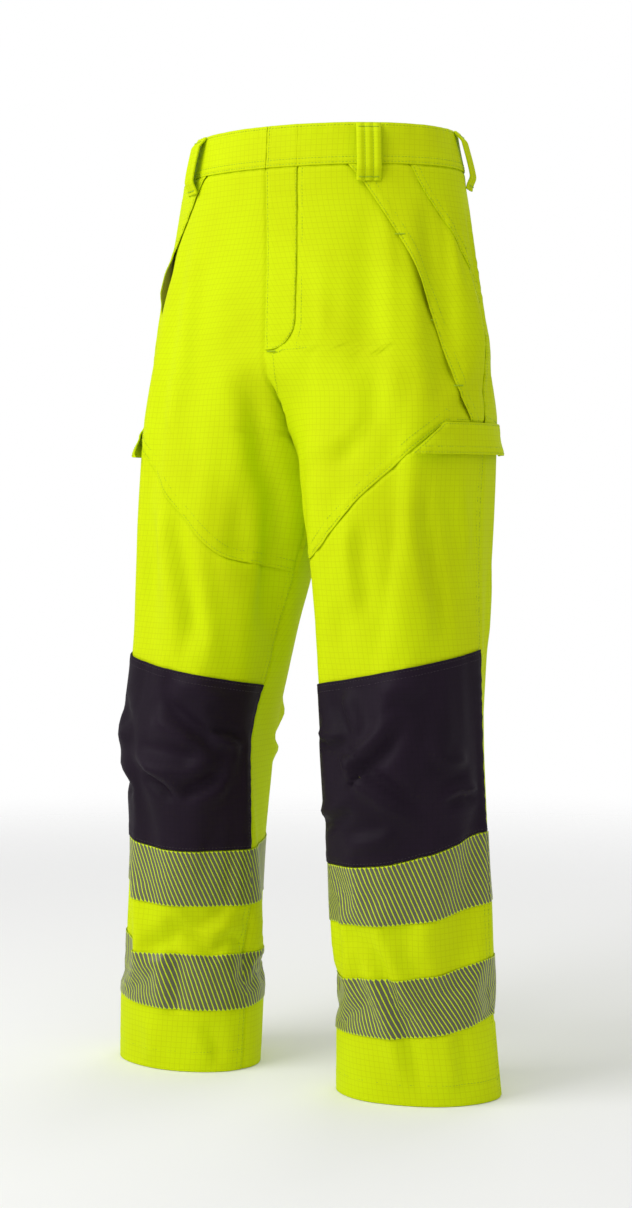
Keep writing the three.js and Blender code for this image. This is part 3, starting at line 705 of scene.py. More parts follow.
@dataclass(frozen=True)
class StripedTape:
    """Reflective film cut into slanting stripes, with the cloth showing between them."""

    name: str
    film: tuple
    # lighter film tone: painted sheen where the tape is seen edge-on, and also the bead speckle and wear
    glint: tuple
    cloth: tuple
    pitch: float = 0.005
    gap: float = 0.22
    slant: float = 0.42

    def make(self) -> bpy.types.Material:
        """Return the tape's material, with painted sheen on the film where it is seen edge-on."""
        graph = Graph(self.name)
        u, v, place = graph.cloth_place()
        edges = graph.node("ShaderNodeUVMap", {"uv_map": "band"}).outputs["UV"]
        parts = graph.node("ShaderNodeSeparateXYZ", None, {"Vector": edges})
        edge = graph.math("MINIMUM", Wire(graph, parts.outputs["X"]), Wire(graph, parts.outputs["Y"]))
        run = (u + v * self.slant) / self.pitch
        stripe = (run.fract() - 0.5).size()
        ends = edge.step(0.0002, 0.0022)
        width = (0.5 - self.gap / 2) * (0.35 + ends * 0.65)
        on = (width - stripe).step(-0.01, 0.02)
        beads = graph.noise(place, 1400.0, 2.0)
        wear = graph.noise(place, 30.0, 4.0)
        # painted sheen: the film is mixed towards the lighter tone where its face turns edge-on to the view
        weight = graph.node("ShaderNodeLayerWeight", None, {"Blend": 0.35}).outputs["Facing"]
        film = graph.blend(Wire(graph, weight) * 0.75, self.film, self.glint)
        film = graph.blend(beads * 0.25 + wear * 0.12, film, self.glint)
        tone = graph.blend(on, self.cloth, film)
        normal = graph.bump(on + beads * 0.25, 0.00012)
        return graph.finish(Base_Color=tone, Roughness=0.68 - on * 0.26, Normal=normal,
                            Metallic=on * 0.25, Specular_IOR_Level=0.4)


@dataclass(frozen=True)
class Lining:
    """Plain brushed cloth."""

    name: str
    base: tuple
    deep: tuple
    thread: float = 0.0007

    def make(self) -> bpy.types.Material:
        """Return the lining's material."""
        graph = Graph(self.name)
        u, v, place = graph.cloth_place()
        turn = 2 * math.pi / self.thread
        weave = (u * turn).wave() * (v * turn).wave()
        nap = graph.noise(place, 700.0, 3.0)
        tone = graph.blend(graph.noise(place, 14.0, 4.0).step(0.3, 0.7) * 0.6 + nap * 0.3,
                           self.base, self.deep)
        normal = graph.bump(weave * 0.3 + nap, 0.00015)
        return graph.finish(Base_Color=tone, Roughness=0.85, Normal=normal, Sheen_Weight=0.2,
                            Specular_IOR_Level=0.2)


@dataclass(frozen=True)
class Thread:
    """Sewing thread, twisted."""

    name: str
    base: tuple
    deep: tuple

    def make(self) -> bpy.types.Material:
        """Return the thread's material."""
        graph = Graph(self.name)
        place = graph.object_place()
        fuzz = graph.noise(place, 2600.0, 2.0)
        tone = graph.blend(fuzz, self.base, self.deep)
        return graph.finish(Base_Color=tone, Roughness=0.55 + fuzz * 0.15,
                            Normal=graph.bump(fuzz, 0.0001), Specular_IOR_Level=0.35)


@dataclass(frozen=True)
class Web:
    """Dense woven tape or hook-and-loop pile."""

    name: str
    base: tuple
    deep: tuple
    rib: float = 0.0012
    pile: float = 0.3

    def make(self) -> bpy.types.Material:
        """Return the web's material."""
        graph = Graph(self.name)
        u, v, place = graph.cloth_place()
        turn = 2 * math.pi / self.rib
        ribs = (v * turn + (u * turn).wave() * 0.8).wave()
        pile = graph.noise(place, 1100.0, 3.0)
        tone = graph.blend(pile.step(0.3, 0.8), self.base, self.deep)
        normal = graph.bump(ribs * (1 - self.pile) + pile * self.pile * 2, 0.0003)
        return graph.finish(Base_Color=tone, Roughness=0.8 + pile * 0.1, Normal=normal,
                            Sheen_Weight=0.25, Specular_IOR_Level=0.2)


@dataclass(frozen=True)
class Metal:
    """Cast and plated fastening metal."""

    name: str
    base: tuple
    worn: tuple

    def make(self) -> bpy.types.Material:
        """Return the metal's material."""
        graph = Graph(self.name)
        place = graph.object_place()
        grime = graph.noise(place, 260.0, 5.0)
        scuff = graph.noise(place, 1500.0, 2.0)
        tone = graph.blend(grime.step(0.35, 0.7), self.base, self.worn)
        return graph.finish(Base_Color=tone, Metallic=1.0, Roughness=0.26 + grime * 0.25,
                            Normal=graph.bump(scuff, 0.00006))


class Finishes:
    """Every material of the garment, made once."""

    def __init__(self) -> None:
        """Make the materials."""
        bright, deep = colour(205, 226, 1), colour(196, 208, 1)
        self.shell = Ripstop("hivis_ripstop", bright, deep, colour(158, 164, 2)).make()
        self.lining = Lining("brushed_backing", colour(186, 186, 60), colour(160, 156, 40)).make()
        self.knee = Ripstop("knee_ripstop", colour(31, 20, 34), colour(21, 14, 23), colour(15, 10, 16),
                            roughness=0.56, sheen=0.02, gloss=0.10).make()
        # the tape's second colour is the lighter film tone: painted sheen where the tape is seen edge-on, and
        # bead speckle and wear
        self.tape = StripedTape("striped_tape", colour(84, 86, 70), colour(126, 126, 98),
                                colour(202, 224, 2)).make()
        self.thread = Thread("shell_thread", colour(178, 208, 4), colour(150, 172, 6)).make()
        self.dark_thread = Thread("knee_thread", colour(60, 48, 60), colour(30, 22, 30)).make()
        self.pocketing = Lining("pocketing", colour(150, 146, 40), colour(128, 122, 30)).make()
        self.zip_web = Web("zip_tape", colour(150, 172, 20), colour(120, 136, 12)).make()
        self.hooks = Web("hook_and_loop", colour(156, 182, 16), colour(118, 136, 10), 0.0016, 0.7).make()
        self.metal = Metal("fastener_metal", colour(176, 174, 166), colour(120, 116, 106)).make()


# ---------------------------------------------------------------- cutting and sewing
class Sewn(Enum):
    """How a panel's edge is sewn."""

    FOLDED = "folded under and lying on top"
    TUCKED = "running on under its neighbour"
    CUT = "cut edge"


@dataclass
class Edge:
    """One edge of a panel: its line, how it is sewn, and its rows of topstitching."""

    line: Line
    sewn: Sewn = Sewn.TUCKED
    rows: tuple = ()
    allowance: float = 0.007

    def beyond(self) -> float:
        """Return how far the cloth runs past the line."""
        return self.allowance if self.sewn is Sewn.TUCKED else 0.0


@dataclass
class Panel:
    """A panel of cloth on one half: `first` and `last` give t by height, the others height by t."""

    name: str
    side: Side
    first: Edge
    last: Edge
    bottom: Edge
    top: Edge
    near: float = -0.6
    lift: float = 0.0
    swell: Optional[Callable[[Array, Array], Array]] = None
    thickness: float = 0.0011
    step: float = 0.006
    held: str = "hung"
    rests_on: tuple = ()

    def across(self, form: Form, z: Array, u: Array) -> Array:
        """Return the angle `u` of the way across the panel at height z."""
        pace = form.per_degree(z)
        first = self.first.line(z) - self.first.beyond() / pace
        last = self.last.line(z) + self.last.beyond() / pace
        return mix(first, last, u)

    def lay(self, form: Form, u: Array, v: Array) -> tuple:
        """Return the angle and height of each point of the panel.

        Args:
            form: the surface.
            u: share of the way across.
            v: share of the way up.
        """
        ends = []
        for edge, start, way in ((self.bottom, self.near, -1), (self.top, -0.06, 1)):
            z = np.full(u.shape, start)
            for _ in range(14):
                z = edge.line(self.across(form, z, u)) + way * edge.beyond()
            ends.append(z)
        z = mix(ends[0], ends[1], v)
        return self.across(form, z, u), z

    def gaps(self, form: Form, t: Array, z: Array) -> list:
        """Return each edge with how far each point is inside it, and how far along it."""
        pace = form.frame(t, z)[4]
        found = []
        for edge, sign in ((self.first, 1), (self.last, -1)):
            slope = (edge.line(z + 0.001) - edge.line(z - 0.001)) / 0.002 * pace
            found.append((edge, sign * (t - edge.line(z)) * pace / np.sqrt(1 + slope**2), z))
        arc = form.arc(t, z)
        for edge, sign in ((self.bottom, 1), (self.top, -1)):
            slope = (edge.line(t + 0.5) - edge.line(t - 0.5)) / pace
            found.append((edge, sign * (z - edge.line(t)) / np.sqrt(1 + slope**2), arc))
        return found

    def relief(self, form: Form, t: Array, z: Array) -> Array:
        """Return how sewing raises and lowers the panel near its edges."""
        total = np.full(np.broadcast(t, z).shape, self.lift)
        if self.swell:
            total = total + self.swell(t, z)
        for edge, inside, along in self.gaps(form, t, z):
            if edge.sewn is Sewn.TUCKED:
                total = total - 0.0017 * smooth(1 - inside / 0.004)
            elif edge.sewn is Sewn.FOLDED:
                total = total + 0.0004 * smooth((0.013 - inside) / 0.004)
                total = total - 0.0006 * (1 - smooth((inside + 0.0002) / 0.0014))
            for row in edge.rows:
                total = total - 0.00045 * bell(inside - row, 0.0014)
            if edge.rows:
                pucker = np.sin(along * 2 * math.pi / 0.017 + 2.2 * np.sin(along * 61))
                total = total + 0.0004 * pucker * bell(inside - edge.rows[0], 0.011)
        return total

    def row_path(self, form: Form, which: str, row: float, count: int = 400) -> tuple:
        """Return angles and heights along a row of stitching.

        Args:
            form: the surface.
            which: name of the edge that the row follows.
            row: its distance inside that edge.
            count: number of points.
        """
        edge = getattr(self, which)
        run = np.linspace(0.004, 0.996, count)
        if which in ("first", "last"):
            u = np.full(count, 0.0 if which == "first" else 1.0)
            t, z = self.lay(form, u, run)
            pace = form.frame(t, z)[4]
            slope = (edge.line(z + 0.001) - edge.line(z - 0.001)) / 0.002 * pace
            way = 1 if which == "first" else -1
            t = edge.line(z) + way * row * np.sqrt(1 + slope**2) / pace
        else:
            v = np.full(count, 0.0 if which == "bottom" else 1.0)
            t, z = self.lay(form, run, v)
            slope = (edge.line(t + 0.5) - edge.line(t - 0.5)) / form.frame(t, z)[4]
            way = 1 if which == "bottom" else -1
            z = edge.line(t) + way * row * np.sqrt(1 + slope**2)
        keep = np.ones(count, bool)
        for other, inside, _ in self.gaps(form, t, z):
            if other is not edge:
                keep &= inside > 0.0008
        return t[keep], z[keep]


class Tailor:
    """Cuts panels from the form, gives them thickness and sews them."""

    def __init__(self, form: Form, drape: Drape, finishes: Finishes) -> None:
        """Keep what the panels are cut on and dressed in."""
        self.form, self.drape, self.finishes = form, drape, finishes

    def point(self, side: Side, t: Array, z: Array, offset: Array) -> Array:
        """Return points of the hanging cloth, moved out from it by offset."""
        x, y, nx, ny, _ = self.form.frame(t, z)
        out = offset + self.drape.placed(side, t, z)
        points = np.stack([x + nx * out, y + ny * out, z + np.zeros_like(x)], -1)
        points = points + self.drape.shift(side, t, z)
        points[..., 0] *= side.value
        return points

    @staticmethod
    def spread(length: float, step: float) -> Array:
        """Return shares of the way along a length, closer together at both ends."""
        ends = np.array([0, 0.0007, 0.0018, 0.0032, 0.005, 0.0075, 0.0105, 0.0135])
        ends = ends[ends < length * 0.2]
        if len(ends) < 3:
            ends = np.array([0.0])
        inner = np.linspace(ends[-1], length - ends[-1], max(2, round((length - 2 * ends[-1]) / step) + 1))
        return np.concatenate([ends[:-1], inner, length - ends[:-1][::-1]]) / length

    def cut(self, panel: Panel) -> bpy.types.Object:
        """Cut a panel as a grid laid on the form, with its place on the flat cloth as UVs."""
        low, high = panel.lay(self.form, np.array([0.5, 0.5]), np.array([0.0, 1.0]))[1]
        middle = (low + high) / 2
        wide = float(self.form.per_degree(middle) * (self.across_degrees(panel, middle)))
        us = self.spread(max(wide, 0.02), panel.step)
        vs = self.spread(float(high - low), panel.step)
        grid = bmesh.new()
        bmesh.ops.create_grid(grid, x_segments=len(us) - 1, y_segments=len(vs) - 1, size=0.5)
        if panel.side is Side.RIGHT:
            bmesh.ops.reverse_faces(grid, faces=grid.faces)
        grid.normal_update()
        mesh = bpy.data.meshes.new(panel.name)
        grid.to_mesh(mesh)
        grid.free()
        flat = read_points(mesh)
        u = us[np.rint((flat[:, 0] + 0.5) * (len(us) - 1)).astype(int)]
        v = vs[np.rint((flat[:, 1] + 0.5) * (len(vs) - 1)).astype(int)]
        t, z = panel.lay(self.form, u, v)
        points = self.point(panel.side, t, z, panel.relief(self.form, t, z))
        mesh.vertices.foreach_set("co", points.ravel())
        self.mark(mesh, "cut", np.stack([self.form.arc(t, z) * panel.side.value, z], 1))
        low, high = panel.bottom.line(t), panel.top.line(t)
        self.mark(mesh, "band", np.stack([z - low, high - z], 1))
        mesh.update()
        order = np.lexsort((u, v))
        arcs = self.form.arc(t, z)[order].reshape(len(vs), len(us))
        heights = z[order].reshape(len(vs), len(us))
        size = (float(np.ptp(arcs, axis=1).max()), float(np.ptp(heights, axis=0).max()))
        piece = link(mesh)
        declare(piece, size)
        return piece

    def across_degrees(self, panel: Panel, z: float) -> float:
        """Return how many degrees the panel is wide at a height."""
        ends = panel.across(self.form, np.array([z, z]), np.array([0.0, 1.0]))
        return float(ends[1] - ends[0])

    @staticmethod
    def mark(mesh: bpy.types.Mesh, name: str, values: Array) -> None:
        """Give a mesh a UV map from one pair of numbers for each point."""
        layer = mesh.uv_layers.new(name=name)
        corners = np.empty(len(mesh.loops), int)
        mesh.loops.foreach_get("vertex_index", corners)
        layer.data.foreach_set("uv", values[corners].ravel())

    def make(self, panel: Panel, outside: bpy.types.Material, inside: bpy.types.Material,
             thread: Optional[bpy.types.Material] = None) -> list:
        """Cut a panel, thicken it and sew its rows.

        Args:
            panel: what to make.
            outside: finish of its face.
            inside: finish of its back.
            thread: finish of its topstitching.

        Returns:
            The panel's object and, where it has rows, that of its stitches.
        """
        piece = self.cut(panel)
        piece.data.materials.append(outside)
        piece.data.materials.append(inside)
        thicken(piece, panel.thickness)
        rows = [(which, row) for which in ("first", "last", "bottom", "top")
                for row in getattr(panel, which).rows]
        made = [piece]
        if rows and thread:
            paths = []
            for which, row in rows:
                t, z = panel.row_path(self.form, which, row)
                if len(t) > 8:
                    offset = panel.relief(self.form, t, z)
                    paths.append((self.point(panel.side, t, z, offset + 0.0001),
                                  self.point(panel.side, t, z, offset + 0.0011)))
            made.append(stitch(f"{panel.name}_stitching", paths, thread))
        log.info("sewed %s: %d points", panel.name, len(piece.data.vertices))
        return made


def link(mesh: bpy.types.Mesh) -> bpy.types.Object:
    """Put a mesh in the scene, smooth-shaded, and return its object."""
    mesh.shade_smooth()
    made = bpy.data.objects.new(mesh.name, mesh)
    bpy.context.scene.collection.objects.link(made)
    return made


def declare(piece: bpy.types.Object, size: tuple) -> None:
    """Log a sheet of cloth's size on the flat pattern, and its area.

    Args:
        piece: the sheet, before it is given thickness.
        size: its greatest width along a row and its greatest length down a column.
    """
    layer = piece.data.uv_layers["cut"]
    flat = np.empty(len(piece.data.loops) * 2)
    layer.data.foreach_get("uv", flat)
    flat = flat.reshape(-1, 4, 2)
    (x, y), (xn, yn) = np.moveaxis(flat, -1, 0), np.moveaxis(np.roll(flat, -1, 1), -1, 0)
    area = float(np.abs((x * yn - xn * y).sum(1)).sum() / 2)
    if area > size[0] * size[1]:
        size = (float(np.ptp(x)), float(np.ptp(y)))
    log.info("cut %s: %.3f x %.3f m, %.4f m2", piece.name, *size, area)


def thicken(piece: bpy.types.Object, thickness: float) -> None:
    """Give a sheet its thickness inwards, with the second finish on its back."""
    solid = piece.modifiers.new("cloth", "SOLIDIFY")
    solid.thickness = thickness
    solid.offset = -1
    solid.material_offset = 1
    solid.material_offset_rim = 0


def stitch(name: str, paths: list, thread: bpy.types.Material, length: float = 0.0028,
           pitch: float = 0.0038, width: float = 0.00075) -> bpy.types.Object:
    """Lay stitches along paths on the cloth.

    Args:
        name: name of the piece.
        paths: for each row, points on the cloth and the same points further out.
        thread: finish of the stitches.
        length: length of a stitch.
        pitch: distance from one stitch to the next.
        width: thickness of the thread.

    Returns:
        One object with every stitch.
    """
    seed = bmesh.new()
    bmesh.ops.create_icosphere(seed, subdivisions=1, radius=0.5)
    corners = np.array([v.co[:] for v in seed.verts])
    corners = np.sign(corners) * np.abs(corners * 2) ** 0.8 / 2
    faces = np.array([[v.index for v in f.verts] for f in seed.faces])
    seed.free()
    places, frames = [], []
    for points, outer in paths:
        steps = np.linalg.norm(np.diff(points, axis=0), axis=1)
        run = np.concatenate([[0], np.cumsum(steps)])
        at = np.arange(pitch / 2, run[-1], pitch)
        centre = np.stack([np.interp(at, run, points[:, k]) for k in range(3)], 1)
        above = np.stack([np.interp(at, run, outer[:, k]) for k in range(3)], 1)
        ahead = np.stack([np.interp(at + 0.001, run, points[:, k]) for k in range(3)], 1)
        behind = np.stack([np.interp(at - 0.001, run, points[:, k]) for k in range(3)], 1)
        way = unit(ahead - behind)
        out = unit(above - centre)
        places.append(centre)
        frames.append(np.stack([way * length, unit(np.cross(out, way)) * width, out * width * 0.8], 1))
    centre, frame = np.concatenate(places), np.concatenate(frames)
    points = np.einsum("vk,skc->svc", corners, frame) + centre[:, None, :]
    index = faces[None] + (np.arange(len(centre)) * len(corners))[:, None, None]
    mesh = bpy.data.meshes.new(name)
    mesh.from_pydata(points.reshape(-1, 3).tolist(), [], index.reshape(-1, 3).tolist())
    mesh.materials.append(thread)
    return link(mesh)


def unit(vectors: Array) -> Array:
    """Return the vectors at length one."""
    return vectors / np.maximum(np.linalg.norm(vectors, axis=-1, keepdims=True), 1e-12)


def dress(pieces: list, body: str, slot: str, *nodes: str) -> None:
    """Set pieces on their body, in the place of CAD nodes."""
    for piece in pieces:
        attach(piece, body)
    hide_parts(*nodes)


def constant(value: float) -> Line:
    """Return a line that is at the same value everywhere."""
    return lambda at: np.full(np.shape(at), value)


# ---------------------------------------------------------------- the pattern's lines
@dataclass(frozen=True)
class Pattern:
    """Where the seams, bands and openings run, by height or by angle."""

    form: Form
    hem: float = -1.040
    band: float = 0.046
    fly_width: float = 0.038
    fly_bottom: float = -0.243
    fly_curve: float = 0.034
    flap_top: float = -0.323
    flap_height: float = 0.034
    tape_width: float = 0.062
    tape_widening: float = 0.013
    lower_tape_up: float = 0.067
    tape_spacing: float = 0.120
    patch_top_middle: float = -0.588
    side_seam: float = 3.0
    yoke: SmoothCurve = SmoothCurve([(-180, -0.480), (-130, -0.468), (-92, -0.421), (-51, -0.357),
                                     (-28, -0.323)])
    seat_seam: SmoothCurve = SmoothCurve([(0, -0.325), (90, -0.350), (180, -0.400)])
    pocket: SmoothCurve = SmoothCurve([(-0.323, -10), (-0.298, -18), (-0.249, -28), (-0.200, -34),
                                       (-0.137, -41), (-0.068, -51), (-0.046, -57)])
    side_back: SmoothCurve = SmoothCurve([(-0.323, 3), (-0.200, 2), (-0.146, -7), (-0.074, -25),
                                          (-0.046, -30)])
    rise: SmoothCurve = SmoothCurve([(-180, 0), (-90, 0.003), (-50, 0.009), (3, 0.020), (90, 0.012),
                                     (180, 0)])
    patch_rise: SmoothCurve = SmoothCurve([(-180, -0.020), (-90, 0), (3, 0.024)])

    def lower_tape(self, t: Array) -> Array:
        """Return the lower band's lower edge."""
        return self.hem + self.lower_tape_up + self.rise(t)

    def upper_tape(self, t: Array) -> Array:
        """Return the upper band's lower edge."""
        return self.lower_tape(t) + self.tape_spacing

    def lower_tape_top(self, t: Array) -> Array:
        """Return the lower band's upper edge."""
        return self.lower_tape(t) + self.tape_width

    def upper_tape_top(self, t: Array) -> Array:
        """Return the upper band's upper edge, which climbs at the outer side."""
        widening = self.tape_widening * smooth((t + 110) / 113) * smooth((63 - t) / 60)
        return self.upper_tape(t) + self.tape_width + widening

    def patch_bottom(self, t: Array) -> Array:
        """Return the knee patch's lower edge."""
        return self.upper_tape_top(t) + 0.001

    def patch_top(self, t: Array) -> Array:
        """Return the knee patch's upper edge."""
        return self.patch_top_middle + self.patch_rise(t)

    def fly_edge(self, z: Array) -> Array:
        """Return x of the fly's curved topstitching at a height."""
        drop = np.clip(self.fly_bottom + self.fly_curve - z, 0, self.fly_curve)
        across = np.sqrt(np.maximum(self.fly_curve**2 - drop**2, 0))
        return self.fly_width - self.fly_curve + across

    def fly_angle(self, z: Array) -> Array:
        """Return the angle of the fly's topstitching."""
        return -self.form.angle_at(self.fly_edge(z), z)

    def left_front(self, z: Array) -> Array:
        """Return the left front panel's inner edge: beside the fly, then centre front."""
        below = smooth((self.fly_bottom - z) / 0.004)
        return mix(self.fly_angle(z), self.form.front_middle(z), below)


# ---------------------------------------------------------------- sub-assemblies
@dataclass
class Upper:
    """Fronts, fly cover, side panels and seat."""

    tailor: Tailor
    pattern: Pattern
    mouth_lift: float = 0.0045

    def gape(self, side: Side) -> Line:
        """Return how far the pocket mouth stands open down the hip."""
        if side is Side.LEFT:
            return lambda z: (bell(z + 0.178, 0.030) + 0.55 * bell(z + 0.262, 0.012)
                              + 0.45 * bell(z + 0.303, 0.012))
        return lambda z: 1.5 * bell(z + 0.165, 0.030) + 1.2 * bell(z + 0.230, 0.030)

    def build(self) -> None:
        """Make every panel above the yoke."""
        for side in Side:
            self.front(side)
            self.side_panel(side)
            self.seat(side)
            self.tacks(side)
        self.fly_cover()

    def front(self, side: Side) -> None:
        """Make one front panel, from centre front or the fly to the pocket's mouth."""
        form, pattern = self.tailor.form, self.pattern
        gape = self.gape(side)
        left = side is Side.LEFT

        def sink(t: Array, z: Array) -> Array:
            near = (pattern.pocket(z) - t) * form.per_degree(z)
            return -0.6 * self.mouth_lift * gape(z) * smooth((0.020 - near) / 0.018)

        panel = Panel(
            f"front_{side.word}", side,
            Edge(pattern.left_front if left else form.front_middle,
                 Sewn.TUCKED, (0.0065,) if left else (), 0.010 if left else 0.002),
            Edge(pattern.pocket, Sewn.TUCKED, (), 0.014),
            Edge(pattern.yoke, Sewn.FOLDED, (0.003, 0.012)),
            Edge(constant(-pattern.band), Sewn.TUCKED, (), 0.004),
            near=-0.4, swell=sink)
        shell = self.tailor.finishes
        pieces = self.tailor.make(panel, shell.shell, shell.lining, shell.thread)
        dress(pieces, "garment", "hivis_ripstop", f"front_upper_{side.word}")

    def tacks(self, side: Side) -> None:
        """Make the bar tacks at both ends of the pocket's mouth and, on the left, at the fly's foot."""
        tailor, pattern = self.tailor, self.pattern
        places = [(pattern.pocket(z) + 1.0, z) for z in (-0.122, -0.212, -0.283)]
        if side is Side.LEFT:
            middle = float(tailor.form.front_middle(pattern.fly_bottom))
            places.append((middle + 3.4, pattern.fly_bottom - 0.002))
        paths = []
        for angle, height in places:
            half = 0.0055 / float(tailor.form.per_degree(height))
            t = np.linspace(angle - half, angle + half, 40)
            z = np.full(t.shape, height)
            paths.append((tailor.point(side, t, z, np.full(t.shape, 0.0012)),
                          tailor.point(side, t, z, np.full(t.shape, 0.0022))))
        bars = stitch(f"bar_tacks_{side.word}", paths, tailor.finishes.thread, 0.0013, 0.0009, 0.0018)
        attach(bars, "garment")

    def fly_cover(self) -> None:
        """Make the part of the left front that covers the zip; on the trousers it opens with the fly, but
        this piece is not set on the fly's opening body.
        """
        form, pattern, shell = self.tailor.form, self.pattern, self.tailor.finishes
        panel = Panel(
            "fly_front", Side.LEFT,
            Edge(form.front_middle, Sewn.FOLDED, (0.002,)),
            Edge(lambda z: pattern.fly_angle(z), Sewn.CUT, (0.0008,)),
            Edge(constant(pattern.fly_bottom), Sewn.CUT),
            Edge(constant(-pattern.band), Sewn.TUCKED, (), 0.001),
            near=-0.24, lift=0.0004, step=0.005)
        pieces = self.tailor.make(panel, shell.shell, shell.lining, shell.thread)
        for piece in pieces:
            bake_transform(piece)
        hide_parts("fly_cover")

    def side_panel(self, side: Side) -> None:
        """Make the hip panel, whose folded front edge is the pocket's mouth."""
        form, pattern, shell = self.tailor.form, self.pattern, self.tailor.finishes
        gape = self.gape(side)

        def stand(t: Array, z: Array) -> Array:
            near = (t - pattern.pocket(z)) * form.per_degree(z)
            return 0.0006 + self.mouth_lift * gape(z) * smooth((0.026 - near) / 0.026)

        panel = Panel(
            f"hip_{side.word}", side,
            Edge(pattern.pocket, Sewn.FOLDED, (0.0025, 0.0115)),
            Edge(pattern.side_back, Sewn.TUCKED, ()),
            Edge(constant(pattern.flap_top), Sewn.TUCKED, (), 0.004),
            Edge(constant(-pattern.band), Sewn.TUCKED, (), 0.004),
            near=-0.3, swell=stand)
        pieces = self.tailor.make(panel, shell.shell, shell.lining, shell.thread)
        dress(pieces, "garment", "hivis_ripstop", f"side_panel_{side.word}")

    def seat(self, side: Side) -> None:
        """Make one half of the seat."""
        form, pattern, shell = self.tailor.form, self.pattern, self.tailor.finishes
        left = side is Side.LEFT
        panel = Panel(
            f"seat_half_{side.word}", side,
            Edge(pattern.side_back, Sewn.FOLDED, (0.002, 0.008)),
            Edge(form.back_middle, Sewn.FOLDED if left else Sewn.TUCKED,
                 (0.002, 0.008) if left else (), 0.007),
            Edge(pattern.seat_seam, Sewn.FOLDED, (0.003, 0.010)),
            Edge(constant(-pattern.band), Sewn.TUCKED, (), 0.004),
            near=-0.36)
        pieces = self.tailor.make(panel, shell.shell, shell.lining, shell.thread)
        dress(pieces, "garment", "hivis_ripstop", f"seat_{side.word}")


